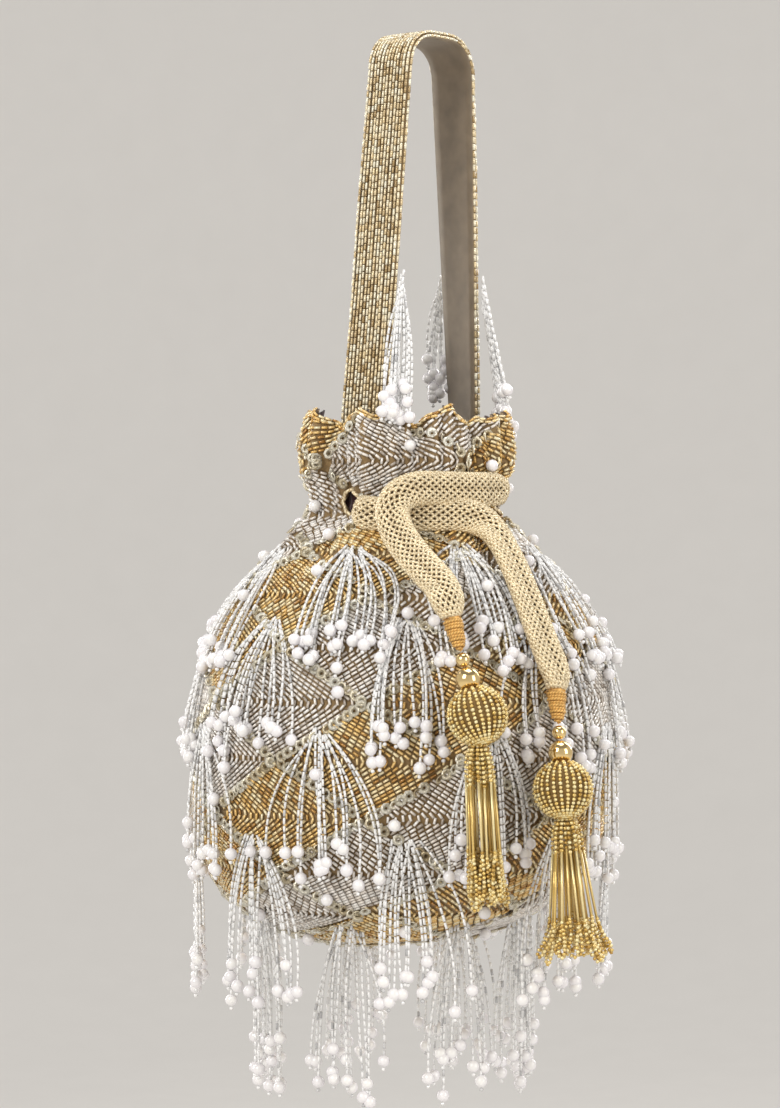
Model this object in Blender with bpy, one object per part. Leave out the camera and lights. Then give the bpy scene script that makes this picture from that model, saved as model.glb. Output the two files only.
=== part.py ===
"""Beaded potli bag: a gathered pouch on a beaded hand strap.

The frame is +Z up with the bag hanging still. The origin is the middle of the flat seat
under the top of the strap, where the bag hangs, and the tied side of the pouch faces -Y.
Azimuths round the pouch are measured from the front (-Y) towards +X.
All lengths are in metres and all angles in degrees unless a name says otherwise.
"""
import math

import bmesh
import bpy
from mathutils import Matrix, Vector

# Heights down the bag
STRAP_RISE = 0.139
COLLAR_HEIGHT = 0.0255
CASING_HEIGHT = 0.010
SHOULDER_HEIGHT = 0.0905
BASE_DEPTH = 0.064

# Radii of the pouch, its axis and the shape of its base
POUCH_AXIS_X = -0.006
RIM_RADIUS = 0.0345
COLLAR_RADIUS = 0.0370
CASING_RADIUS = 0.0340
BODY_RADIUS = 0.0765
BASE_CURVE = 2.6
BASE_LEAN = -0.008

# Cloth layers and gathers
SHELL_THICKNESS = 0.0020
LINING_THICKNESS = 0.0008
CLEARANCE = 0.0003
FOLD_COUNT = 8
FOLD_DEPTH = 0.0036
FOLD_PHASE = 22.5
RIM_WAVE = 0.0025
POUCH_SEGMENTS = 40

# Neck slits that let the drawstrings out
SLIT_AZIMUTHS = (-36.0, 72.0)
SLIT_SEGMENTS = 2

# Hand strap
STRAP_WIDTH = 0.0195
BEADWORK_THICKNESS = 0.0016
STRAP_LINING_THICKNESS = 0.0010
SEAT_LENGTH = 0.012
STRAP_BEND_RADIUS = 0.011
STRAP_TAIL = 0.012
STRAP_PLANE_AZIMUTH = -40.0
STRAP_FRONT_AZIMUTH = -36.0
STRAP_BACK_AZIMUTH = 118.0
STRAP_LEG_STEPS = 9
STRAP_BEND_STEPS = 5

# Drawstrings
CORD_DIAMETER = 0.008
CORD_POINT_SPACING = 0.005
CORD_BEVEL_RESOLUTION = 2

# Tassels
WRAP_RADIUS = 0.0033
WRAP_LENGTH = 0.0122
WRAP_TAPER = 0.0050
WRAP_TIP_RADIUS = 0.0006
SMALL_BEAD_RADIUS = 0.0025
LARGE_BEAD_RADIUS = 0.0043
BALL_RADIUS = 0.0106
BALL_DIMPLE_RADIUS = 0.0045
BALL_DIMPLE_DEPTH = 0.0013
SKIRT_TOP_RADIUS = 0.0046
SKIRT_FLUTES = 9
SKIRT_FLUTE_DEPTH = 0.0008
LEFT_SKIRT_LENGTH = 0.0560
LEFT_SKIRT_RADIUS = 0.0072
RIGHT_SKIRT_LENGTH = 0.0490
RIGHT_SKIRT_RADIUS = 0.0112
# The wrap, beads and ball lean out over the pouch, and the skirt under the ball hangs almost plumb
LEFT_TASSEL_DIRECTION = (0.245, -0.219, -0.945)
LEFT_SKIRT_DIRECTION = (0.060, 0.0, -1.0)
RIGHT_TASSEL_DIRECTION = (0.056, -0.225, -0.972)
RIGHT_SKIRT_DIRECTION = (0.068, 0.0, -1.0)

# Fringe on the body: for each tier, the place of its knots as a share of the height under the
# casing, the length of its strands and the azimuth of its first cluster
TIERS = (
    (0.0777, 0.0520, 22.5),
    (0.2460, 0.0540, 0.0),
    (0.4919, 0.0550, 22.5),
    (0.7379, 0.0600, 0.0),
    (0.9450, 0.0620, 22.5),
)
CLUSTERS_PER_TIER = 8

# Fringe on the strap: drop of the knot under the seat, leg and edge that it hangs from, azimuth at
# which it passes over the rim, length, how far the fan moves off the strap, and its share of the spread
STRAP_FRINGES = {
    "strap_fringe_front": (0.089, "front", 1.0, -6.0, 0.058, 0.0, 1.0),
    "strap_fringe_back_right": (0.089, "back", 1.0, 84.0, 0.060, 0.0, 1.0),
    "strap_fringe_back_left": (0.087, "back", -1.0, None, 0.045, 0.0045, 0.5),
}

# One cluster of strands
STRAND_COUNT = 3
STRAND_WIDTH = 0.0020
CLUSTER_SPREAD = 0.0080
KNOT_HEIGHT = 0.0035
KNOT_TOP_SHARE = 0.55
KNOT_WAIST_SHARE = 1.10
STRAND_LIFT = 0.0022
STRAND_LENGTH_CHANGES = (-0.003, 0.002, -0.001)
PEARL_RADIUS = 0.0023
PEARL_SQUARE_SHARE = 0.8
SEED_RADIUS = 0.0007
MARCH_STEP = 0.0005

# Heights that follow from the sizes above
RIM_Z = -STRAP_RISE
CASING_TOP_Z = RIM_Z - COLLAR_HEIGHT
CASING_BOTTOM_Z = CASING_TOP_Z - CASING_HEIGHT
BELLY_Z = CASING_BOTTOM_Z - SHOULDER_HEIGHT
BOTTOM_Z = BELLY_Z - BASE_DEPTH

# Collar rings: share of its height, blend from collar to rim radius, share of the fold depth
COLLAR_RINGS = ((0.0, 1.0, 1.0), (0.30, 0.1, 0.95), (0.68, 0.0, 0.80))
CASING_FOLD_SHARE = 0.55
# Shoulder rings: share of its height, blend from casing to body radius, share of the fold depth
SHOULDER_RINGS = (
    (0.05, 0.12, 0.50),
    (0.15, 0.34, 0.36),
    (0.30, 0.61, 0.16),
    (0.52, 0.86, 0.0),
    (0.76, 0.976, 0.0),
)
# Angles that place the rings of the rounded base
BASE_RING_ANGLES = (18.0, 36.0, 52.0, 67.0, 81.0)

# Drawstring routes from the neck slit to the thread wrap: azimuth, distance of the cord's middle
# off the ungathered wall, drop under the top of the casing
LEFT_CORD_ROUTE = (
    (60.0, 0.0056, 0.0005),
    (44.0, 0.0062, 0.0005),
    (28.0, 0.0075, 0.0005),
    (14.0, 0.0095, 0.0003),
    (4.0, 0.0125, 0.0007),
    (-3.0, 0.0152, 0.0035),
    (-5.5, 0.0172, 0.0090),
    (-3.5, 0.0147, 0.0155),
    (1.0, 0.0137, 0.0225),
    (5.5, 0.0160, 0.0290),
    (8.6, 0.0193, 0.0345),
    (9.7, 0.0212, 0.0398),
    (10.56, 0.0196, 0.0455),
)
RIGHT_CORD_ROUTE = (
    (-25.0, 0.0080, 0.0095),
    (-12.0, 0.0080, 0.0095),
    (2.0, 0.0080, 0.0095),
    (16.0, 0.0080, 0.0095),
    (28.0, 0.0087, 0.0098),
    (36.0, 0.0092, 0.0120),
    (39.0, 0.0093, 0.0170),
    (39.0, 0.0085, 0.0260),
    (38.3, 0.0074, 0.0385),
    (37.8, 0.0089, 0.0525),
    (37.9, 0.0119, 0.0649),
    (37.4, 0.0119, 0.0707),
)

# Colours as seen on the bag
SILVER_BEADS = (0.72, 0.70, 0.66, 1.0)
CLOTH_OF_GOLD = (0.55, 0.38, 0.16, 1.0)
ANTIQUE_GOLD = (0.58, 0.47, 0.28, 1.0)
MAROON_CLOTH = (0.10, 0.012, 0.018, 1.0)
TAUPE_CLOTH = (0.30, 0.23, 0.16, 1.0)
LAME_BRAID = (0.66, 0.55, 0.36, 1.0)
GOLD_METAL = (0.80, 0.62, 0.30, 1.0)
GOLD_GLASS = (0.72, 0.48, 0.14, 1.0)
GOLD_THREAD = (0.62, 0.34, 0.10, 1.0)


def material(name, colour, metallic, roughness):
    """Return one plain Principled material."""
    made = bpy.data.materials.new(name)
    made.use_nodes = True
    shader = made.node_tree.nodes["Principled BSDF"]
    shader.inputs["Base Color"].default_value = colour
    shader.inputs["Metallic"].default_value = metallic
    shader.inputs["Roughness"].default_value = roughness
    made.diffuse_color = colour
    return made


def add_mesh(name, shape, finish, place=None):
    """Turn a bmesh into a named object with its faces pointing out."""
    bmesh.ops.recalc_face_normals(shape, faces=shape.faces)
    mesh = bpy.data.meshes.new(name)
    shape.to_mesh(mesh)
    shape.free()
    mesh.materials.append(finish)
    made = bpy.data.objects.new(name, mesh)
    bpy.context.collection.objects.link(made)
    if place is not None:
        made.matrix_world = place
    return made


def sideways(azimuth):
    """Unit vector along the pouch's wall at an azimuth, towards larger azimuths."""
    turn = math.radians(azimuth)
    return Vector((math.cos(turn), math.sin(turn), 0.0))


def outward(azimuth):
    """Unit vector away from the pouch's axis at an azimuth."""
    turn = math.radians(azimuth)
    return Vector((math.sin(turn), -math.cos(turn), 0.0))


def round_point(azimuth, radius, height):
    """Point at an azimuth and radius from the pouch's axis."""
    return Vector((POUCH_AXIS_X, 0.0, height)) + radius * outward(azimuth)


def mix(start, end, share):
    """Blend two numbers or vectors."""
    return start + (end - start) * share


def fold_wave(azimuth):
    """Gather height from -1 in a trough to 1 on a crest."""
    return math.cos(math.radians(FOLD_COUNT * (azimuth - FOLD_PHASE)))


def outer_rings():
    """Rings of the shell's outer face from rim to bottom, as (radius, height, fold depth, lean)."""
    rings = []
    for share, blend, fold in COLLAR_RINGS:
        radius = mix(COLLAR_RADIUS, RIM_RADIUS, blend)
        rings.append((radius, RIM_Z - share * COLLAR_HEIGHT, fold * FOLD_DEPTH, 0.0))
    for height in (CASING_TOP_Z, CASING_BOTTOM_Z):
        rings.append((CASING_RADIUS, height, CASING_FOLD_SHARE * FOLD_DEPTH, 0.0))
    for share, blend, fold in SHOULDER_RINGS:
        radius = mix(CASING_RADIUS, BODY_RADIUS, blend)
        rings.append((radius, CASING_BOTTOM_Z - share * SHOULDER_HEIGHT, fold * FOLD_DEPTH, 0.0))
    rings.append((BODY_RADIUS, BELLY_Z, 0.0, 0.0))
    for angle in BASE_RING_ANGLES:
        across = math.cos(math.radians(angle)) ** (2.0 / BASE_CURVE)
        down = math.sin(math.radians(angle)) ** (2.0 / BASE_CURVE)
        rings.append((BODY_RADIUS * across, BELLY_Z - BASE_DEPTH * down, 0.0, BASE_LEAN * down ** 2))
    return rings


def inset_rings(depth):
    """The outer rings moved into the cloth by a depth, square to the wall."""
    outer = outer_rings()
    last = len(outer) - 1
    rings = []
    for index, (radius, height, fold, lean) in enumerate(outer):
        above = outer[max(index - 1, 0)]
        below = outer[min(index + 1, last)]
        along = Vector((below[0] - above[0], below[1] - above[1])).normalized()
        if index == 0:
            along = Vector((0.0, -1.0))
        if index == last:
            along = Vector((-1.0, 0.0))
        rings.append((radius + depth * along.y, height - depth * along.x, fold, lean))
    return rings


def segment_azimuth(step):
    """Azimuth of one column of the pouch's mesh."""
    return step * 360.0 / POUCH_SEGMENTS


def wall_radius(rings, azimuth, height):
    """Distance from the axis to the flat-sided wall that the given rings make."""
    index = 0
    while index < len(rings) - 2 and rings[index + 1][1] > height:
        index += 1
    top = rings[index]
    bottom = rings[index + 1]
    top_height = top[1]
    if index == 0:
        top_height += RIM_WAVE * fold_wave(azimuth)
    share = min(max((top_height - height) / (top_height - bottom[1]), 0.0), 1.0)
    radius = mix(top[0], bottom[0], share)
    fold = mix(top[2], bottom[2], share)
    lean = mix(top[3], bottom[3], share)
    step = 360.0 / POUCH_SEGMENTS
    left = math.floor(azimuth / step) * step
    left_radius = radius + fold * fold_wave(left)
    right_radius = radius + fold * fold_wave(left + step)
    from_left = math.sin(math.radians(azimuth - left))
    to_right = math.sin(math.radians(left + step - azimuth))
    spread = math.sin(math.radians(step))
    flat = left_radius * right_radius * spread / (left_radius * from_left + right_radius * to_right)
    return flat + lean * math.sin(math.radians(azimuth))


def ring_vertices(shape, rings):
    """Add one loop of vertices for each ring."""
    loops = []
    for index, (radius, height, fold, lean) in enumerate(rings):
        loop = []
        for step in range(POUCH_SEGMENTS):
            azimuth = segment_azimuth(step)
            wave = fold_wave(azimuth)
            point = round_point(azimuth, radius + fold * wave, height)
            point.x += lean
            if index == 0:
                point.z += RIM_WAVE * wave
            loop.append(shape.verts.new(point))
        loops.append(loop)
    return loops


def close_bottom(shape, loop, height):
    """Fan the last ring to one vertex at the bottom."""
    bottom = shape.verts.new((POUCH_AXIS_X + BASE_LEAN, 0.0, height))
    for step in range(POUCH_SEGMENTS):
        shape.faces.new((loop[step], loop[(step + 1) % POUCH_SEGMENTS], bottom))


def slit_cells():
    """Mesh cells of the casing that the slits leave open."""
    casing_row = len(COLLAR_RINGS)
    cells = set()
    for azimuth in SLIT_AZIMUTHS:
        middle = round(azimuth * POUCH_SEGMENTS / 360.0)
        for step in range(middle - SLIT_SEGMENTS // 2, middle - SLIT_SEGMENTS // 2 + SLIT_SEGMENTS):
            cells.add((casing_row, step % POUCH_SEGMENTS))
    return cells


def cell_edges(row, step):
    """The four sides of a cell: its neighbour, and the two grid points that the side joins."""
    right = (step + 1) % POUCH_SEGMENTS
    left = (step - 1) % POUCH_SEGMENTS
    return (
        ((row - 1, step), (row, step), (row, right)),
        ((row + 1, step), (row + 1, step), (row + 1, right)),
        ((row, left), (row, step), (row + 1, step)),
        ((row, right), (row, right), (row + 1, right)),
    )


def split_quad(shape, first, second, third, fourth):
    """Two triangles that share the first-to-third diagonal, so that nested layers keep their gap."""
    shape.faces.new((first, second, third))
    shape.faces.new((first, third, fourth))


def cloth_cup(name, outer_depth, inner_depth, open_cells, finish):
    """One layer of the pouch: an open cup of cloth between two depths under the outer face."""
    shape = bmesh.new()
    faces = []
    for depth in (outer_depth, inner_depth):
        loops = ring_vertices(shape, inset_rings(depth))
        close_bottom(shape, loops[-1], BOTTOM_Z + depth)
        faces.append(loops)
    for loops in faces:
        for row in range(len(loops) - 1):
            for step in range(POUCH_SEGMENTS):
                if (row, step) in open_cells:
                    continue
                right = (step + 1) % POUCH_SEGMENTS
                split_quad(shape, loops[row][step], loops[row][right],
                           loops[row + 1][right], loops[row + 1][step])
    outer, inner = faces
    for step in range(POUCH_SEGMENTS):
        right = (step + 1) % POUCH_SEGMENTS
        shape.faces.new((outer[0][step], outer[0][right], inner[0][right], inner[0][step]))
    for cell in open_cells:
        for neighbour, (row_a, step_a), (row_b, step_b) in cell_edges(*cell):
            if neighbour not in open_cells:
                shape.faces.new((outer[row_a][step_a], outer[row_b][step_b],
                                 inner[row_b][step_b], inner[row_a][step_a]))
    return add_mesh(name, shape, finish)


def make_pouch():
    """Outer shell and the lining inside it."""
    cloth_cup("pouch_shell", 0.0, SHELL_THICKNESS, slit_cells(),
              material("embroidered_cloth", CLOTH_OF_GOLD, 0.3, 0.45))
    lining_depth = SHELL_THICKNESS + CLEARANCE
    cloth_cup("pouch_lining", lining_depth, lining_depth + LINING_THICKNESS, set(),
              material("lining_cloth", MAROON_CLOTH, 0.0, 0.8))


def strap_thickness():
    """Both layers of the strap and the clearance between them."""
    return STRAP_LINING_THICKNESS + CLEARANCE + BEADWORK_THICKNESS


def strap_seat_radius(azimuth):
    """Distance from the pouch's axis to the strap's inner face where it is sewn into the collar."""
    inner = inset_rings(SHELL_THICKNESS + CLEARANCE + LINING_THICKNESS)
    reach = math.degrees(math.asin(0.5 * STRAP_WIDTH / (RIM_RADIUS - FOLD_DEPTH - strap_thickness())))
    nearest = COLLAR_RADIUS
    samples = 24
    for height in (RIM_Z, RIM_Z - STRAP_TAIL):
        for sample in range(samples + 1):
            offset = mix(-reach, reach, sample / samples)
            wall = wall_radius(inner, azimuth + offset, height)
            nearest = min(nearest, wall * math.cos(math.radians(offset)))
    return nearest - CLEARANCE - strap_thickness()


def strap_leg(start_azimuth, end_azimuth, side):
    """Frames of one leg from the end of the bend to its tail, as (point, along the width, outward)."""
    start = (0.5 * SEAT_LENGTH + STRAP_BEND_RADIUS) * outward(start_azimuth)
    start.z = -STRAP_BEND_RADIUS
    end = round_point(end_azimuth, strap_seat_radius(end_azimuth), RIM_Z)
    frames = []
    for step in range(STRAP_LEG_STEPS + 1):
        share = step / STRAP_LEG_STEPS
        azimuth = mix(start_azimuth, end_azimuth, share)
        width = side * sideways(azimuth)
        frames.append((mix(start, end, share), width, outward(azimuth)))
    tail = end - Vector((0.0, 0.0, STRAP_TAIL))
    frames.append((tail, side * sideways(end_azimuth), outward(end_azimuth)))
    return frames


def strap_bend(azimuth, side):
    """Frames of one quarter bend, from the flat seat down to the leg."""
    frames = []
    across = outward(azimuth)
    for step in range(STRAP_BEND_STEPS):
        turn = 0.5 * math.pi * step / STRAP_BEND_STEPS
        point = (0.5 * SEAT_LENGTH + STRAP_BEND_RADIUS * math.sin(turn)) * across
        point.z = -STRAP_BEND_RADIUS * (1.0 - math.cos(turn))
        facing = math.sin(turn) * across + Vector((0.0, 0.0, math.cos(turn)))
        frames.append((point, side * sideways(azimuth), facing))
    return frames


def strap_frames():
    """Frames of the whole strap from the front tail over the seat to the back tail."""
    back_azimuth = STRAP_PLANE_AZIMUTH + 180.0
    front = strap_bend(STRAP_PLANE_AZIMUTH, 1.0)
    front += strap_leg(STRAP_PLANE_AZIMUTH, STRAP_FRONT_AZIMUTH, 1.0)
    back = strap_bend(back_azimuth, -1.0)
    back += strap_leg(back_azimuth, STRAP_BACK_AZIMUTH, -1.0)
    return front[::-1] + back


def strap_layer(name, inner_depth, outer_depth, finish):
    """One layer of the strap, swept along its frames."""
    shape = bmesh.new()
    half = 0.5 * STRAP_WIDTH
    loops = []
    for point, width, facing in strap_frames():
        corners = ((-half, inner_depth), (half, inner_depth), (half, outer_depth), (-half, outer_depth))
        loops.append([shape.verts.new(point + across * width + up * facing) for across, up in corners])
    for before, after in zip(loops, loops[1:]):
        split_quad(shape, before[0], before[1], after[1], after[0])
        split_quad(shape, before[3], before[2], after[2], after[3])
        shape.faces.new((before[1], before[2], after[2], after[1]))
        shape.faces.new((before[0], before[3], after[3], after[0]))
    shape.faces.new(loops[0])
    shape.faces.new(loops[-1])
    return add_mesh(name, shape, finish)


def make_strap():
    """Lining under the strap and the beadwork over it."""
    strap_layer("strap_lining", 0.0, STRAP_LINING_THICKNESS,
                material("strap_lining_cloth", TAUPE_CLOTH, 0.0, 0.75))
    strap_layer("strap_beadwork", STRAP_LINING_THICKNESS + CLEARANCE, strap_thickness(),
                material("strap_beads", ANTIQUE_GOLD, 0.6, 0.35))


def smooth_route(points):
    """Points at an even spacing along a smooth curve through the given points."""
    padded = [2.0 * points[0] - points[1]] + list(points) + [2.0 * points[-1] - points[-2]]
    dense = []
    pieces = 24
    for index in range(1, len(padded) - 2):
        before, start, end, after = padded[index - 1:index + 3]
        for piece in range(pieces):
            t = piece / pieces
            bend = (2.0 * before - 5.0 * start + 4.0 * end - after) * t ** 2
            twist = (3.0 * start - before - 3.0 * end + after) * t ** 3
            dense.append(0.5 * (2.0 * start + (end - before) * t + bend + twist))
    dense.append(points[-1])
    length = sum((after - before).length for before, after in zip(dense, dense[1:]))
    count = max(round(length / CORD_POINT_SPACING), 2)
    spaced = [dense[0]]
    walked = 0.0
    for before, after in zip(dense, dense[1:]):
        walked += (after - before).length
        if walked >= len(spaced) * length / count and len(spaced) < count:
            spaced.append(after)
    spaced.append(dense[-1])
    return spaced


def ungathered_radius(height):
    """Radius of the pouch at a height, without its folds."""
    radius = CASING_RADIUS
    rings = outer_rings()
    for upper, lower in zip(rings, rings[1:]):
        if upper[1] >= height > lower[1]:
            radius = mix(upper[0], lower[0], (upper[1] - height) / (upper[1] - lower[1]))
    return radius


def cord_point(azimuth, distance, drop):
    """Point of a drawstring's middle at a distance off the wall and a drop under the casing's top."""
    height = CASING_TOP_Z - drop
    return round_point(azimuth, ungathered_radius(height) + distance, height)


def make_cord(name, route, finish):
    """One drawstring end as a round tube along its route."""
    points = smooth_route([cord_point(*place) for place in route])
    curve = bpy.data.curves.new(name, "CURVE")
    curve.dimensions = "3D"
    curve.bevel_depth = 0.5 * CORD_DIAMETER
    curve.bevel_resolution = CORD_BEVEL_RESOLUTION
    curve.use_fill_caps = True
    spline = curve.splines.new("POLY")
    spline.points.add(len(points) - 1)
    for target, point in zip(spline.points, points):
        target.co = (point.x, point.y, point.z, 1.0)
    curve.materials.append(finish)
    made = bpy.data.objects.new(name, curve)
    bpy.context.collection.objects.link(made)
    return made


def turned(profile, segments, flutes=None):
    """A solid turned round Z through (radius, height) points, with end points on the axis."""
    shape = bmesh.new()
    loops = []
    for radius, height in profile[1:-1]:
        loop = []
        for step in range(segments):
            turn = 2.0 * math.pi * step / segments
            dent = 0.0
            if flutes is not None and step % 2:
                dent = flutes
            loop.append(shape.verts.new(((radius - dent) * math.cos(turn),
                                         (radius - dent) * math.sin(turn), height)))
        loops.append(loop)
    top = shape.verts.new((0.0, 0.0, profile[0][1]))
    bottom = shape.verts.new((0.0, 0.0, profile[-1][1]))
    for step in range(segments):
        following = (step + 1) % segments
        shape.faces.new((top, loops[0][step], loops[0][following]))
        shape.faces.new((bottom, loops[-1][following], loops[-1][step]))
        for upper, lower in zip(loops, loops[1:]):
            shape.faces.new((upper[step], lower[step], lower[following], upper[following]))
    return shape


def ball_profile(radius, centre, rings):
    """Profile of a ball from its top to its bottom."""
    angles = [math.pi * step / (rings + 1) for step in range(rings + 2)]
    return [(radius * math.sin(angle), centre + radius * math.cos(angle)) for angle in angles]


def wrap_profile():
    """Thread wrap above the pivot: a straight sleeve that tapers to the thread."""
    top = WRAP_LENGTH
    shoulder = CLEARANCE + WRAP_TAPER
    middle = 0.5 * (top + shoulder)
    return [(0.0, top), (WRAP_RADIUS, top), (WRAP_RADIUS, middle), (WRAP_RADIUS, shoulder),
            (WRAP_TIP_RADIUS, CLEARANCE), (0.0, CLEARANCE)]


def dimpled_ball_profile(centre):
    """The seed-bead ball, with the dimple in its top that the large bead sits in."""
    rim_height = centre + math.sqrt(BALL_RADIUS ** 2 - BALL_DIMPLE_RADIUS ** 2)
    first = math.asin(BALL_DIMPLE_RADIUS / BALL_RADIUS)
    profile = [(0.0, rim_height - BALL_DIMPLE_DEPTH)]
    rings = 8
    for step in range(rings):
        angle = mix(first, math.pi, step / rings)
        profile.append((BALL_RADIUS * math.sin(angle), centre + BALL_RADIUS * math.cos(angle)))
    profile.append((0.0, centre - BALL_RADIUS))
    return profile


def skirt_profile(length, radius):
    """Skirt of strands from just under the ball to its open ends."""
    top = -BALL_RADIUS - CLEARANCE
    shares = ((0.0, 0.0), (0.12, 0.55), (0.55, 0.70), (1.0, 1.0))
    profile = [(0.0, top)]
    for drop, blend in shares:
        profile.append((mix(SKIRT_TOP_RADIUS, radius, blend), top - drop * length))
    profile.append((0.0, top - length))
    return profile


def hanging_frame(place, direction):
    """Frame at a place whose -Z points along a direction and whose X stays level."""
    up = -Vector(direction).normalized()
    across = Vector((0.0, 1.0, 0.0)).cross(up).normalized()
    back = up.cross(across)
    turn = Matrix((across, back, up)).transposed().to_4x4()
    return Matrix.Translation(place) @ turn


def make_tassel(side, route, direction, skirt_direction, skirt_length, skirt_radius):
    """Wrap, two beads, ball and skirt under the end of one drawstring."""
    down = Vector(direction).normalized()
    cord_end = cord_point(*route[-1])
    pivot = cord_end + (WRAP_LENGTH + CLEARANCE) * down
    frame = hanging_frame(pivot, direction)
    small_centre = -CLEARANCE - SMALL_BEAD_RADIUS
    large_centre = small_centre - SMALL_BEAD_RADIUS - CLEARANCE - LARGE_BEAD_RADIUS
    dimple_floor = large_centre - LARGE_BEAD_RADIUS - CLEARANCE
    rim_height = math.sqrt(BALL_RADIUS ** 2 - BALL_DIMPLE_RADIUS ** 2)
    ball_centre = dimple_floor + BALL_DIMPLE_DEPTH - rim_height
    metal = material("tassel_metal_" + side, GOLD_METAL, 1.0, 0.18)
    glass = material("tassel_beads_" + side, GOLD_GLASS, 0.5, 0.3)
    add_mesh("thread_wrap_" + side, turned(wrap_profile(), 12),
             material("wrap_thread_" + side, GOLD_THREAD, 0.0, 0.6), frame)
    add_mesh("small_bead_" + side, turned(ball_profile(SMALL_BEAD_RADIUS, small_centre, 5), 10),
             metal, frame)
    add_mesh("large_bead_" + side, turned(ball_profile(LARGE_BEAD_RADIUS, large_centre, 5), 12),
             metal, frame)
    add_mesh("ball_head_" + side, turned(dimpled_ball_profile(ball_centre), 16), glass, frame)
    ball_place = frame @ Vector((0.0, 0.0, ball_centre))
    skirt = turned(skirt_profile(skirt_length, skirt_radius), 2 * SKIRT_FLUTES, SKIRT_FLUTE_DEPTH)
    skirt.transform(frame.inverted() @ hanging_frame(ball_place, skirt_direction))
    add_mesh("skirt_" + side, skirt, glass, frame)


def make_drawstrings():
    """Both drawstring ends and what hangs on them."""
    braid = material("lame_braid", LAME_BRAID, 0.5, 0.4)
    make_cord("drawstring_left", LEFT_CORD_ROUTE, braid)
    make_cord("drawstring_right", RIGHT_CORD_ROUTE, braid)
    make_tassel("left", LEFT_CORD_ROUTE, LEFT_TASSEL_DIRECTION, LEFT_SKIRT_DIRECTION,
                LEFT_SKIRT_LENGTH, LEFT_SKIRT_RADIUS)
    make_tassel("right", RIGHT_CORD_ROUTE, RIGHT_TASSEL_DIRECTION, RIGHT_SKIRT_DIRECTION,
                RIGHT_SKIRT_LENGTH, RIGHT_SKIRT_RADIUS)


def lie_radius(rings, azimuth, height, lift):
    """Radius of the middle of a strand that lies on the pouch, lifted off it by some distance."""
    half = 0.5 * STRAND_WIDTH
    below = wall_radius(rings, azimuth, height - MARCH_STEP)
    above = wall_radius(rings, azimuth, height + MARCH_STEP)
    slope = (below - above) / (2.0 * MARCH_STEP)
    steepness = math.sqrt(1.0 + slope ** 2)
    side = math.degrees(half / below)
    here = max(wall_radius(rings, azimuth + turn, height) for turn in (-side, 0.0, side))
    if slope > 0.0:
        return here + (half + CLEARANCE + lift) * steepness
    return here + half + (CLEARANCE + lift) * steepness


def hang_down(rings, azimuth, start_offset, end_offset, start, length):
    """Walk a strand down from (radius, height): over the wall, and plumb where the wall falls away.

    Returns (walked, azimuth, radius, height) steps. The offsets are how far along the wall the
    strand lies from the azimuth at its start and at its end.
    """
    radius, height = start
    walked = 0.0
    steps = []
    while walked <= length + MARCH_STEP:
        share = min(max((walked - KNOT_HEIGHT) / (length - KNOT_HEIGHT), 0.0), 1.0)
        offset = mix(start_offset, end_offset, share)
        here = azimuth + math.degrees(offset / radius)
        new_radius = radius
        if height < RIM_Z + RIM_WAVE:
            new_radius = max(radius, lie_radius(rings, here, height, share * STRAND_LIFT))
        if steps:
            walked += math.hypot(new_radius - radius, MARCH_STEP)
        radius = new_radius
        steps.append((walked, here, radius, height))
        height -= MARCH_STEP
    return steps


def lean_out(start, over_rim, azimuths, start_offset, end_offset, length):
    """Walk a strand in a straight line from a strap edge to the point where it crosses the rim."""
    (start_radius, start_height), (rim_radius, rim_height) = start, over_rim
    reach = math.hypot(rim_radius - start_radius, rim_height - start_height)
    steps = []
    walked = 0.0
    while walked < min(reach, length + MARCH_STEP):
        share = walked / reach
        radius = mix(start_radius, rim_radius, share)
        spread = min(max((walked - KNOT_HEIGHT) / (length - KNOT_HEIGHT), 0.0), 1.0)
        offset = mix(start_offset, end_offset, spread)
        azimuth = mix(azimuths[0], azimuths[1], share) + math.degrees(offset / radius)
        steps.append((walked, azimuth, radius, mix(start_height, rim_height, share)))
        walked += MARCH_STEP
    return steps


def place_on(steps, walked, side_shift, depth_shift):
    """Point at a walked length along the steps, shifted along and square to the wall."""
    index = 1
    while index < len(steps) - 1 and steps[index][0] < walked:
        index += 1
    before, after = steps[index - 1], steps[index]
    start = round_point(*before[1:])
    end = round_point(*after[1:])
    share = (walked - before[0]) / (after[0] - before[0])
    middle = mix(start, end, share)
    along = (end - start).normalized()
    side = sideways(after[1])
    face = along.cross(side).normalized()
    if face.dot(outward(after[1])) < 0.0:
        face.negate()
    return middle + side_shift * side + depth_shift * face


def strand_rings(steps, bend_heights, length):
    """Walked length and half width of each ring of a strand, from the knot to the seed under its pearl.

    The strand has a ring wherever it passes a bend of the wall that it lies on.
    """
    half = 0.5 * STRAND_WIDTH
    pearl = length - 2.0 * PEARL_RADIUS
    rings = []
    for before, after in zip(steps, steps[1:]):
        passed = any(before[3] > height >= after[3] for height in bend_heights)
        if passed and KNOT_HEIGHT + half < after[0] < pearl - half:
            rings.append((after[0], half))
    rings.append((pearl, half))
    rings.append((pearl + 0.6 * PEARL_RADIUS, PEARL_SQUARE_SHARE * PEARL_RADIUS))
    rings.append((pearl + 1.4 * PEARL_RADIUS, PEARL_SQUARE_SHARE * PEARL_RADIUS))
    rings.append((length, SEED_RADIUS))
    return rings


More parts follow.
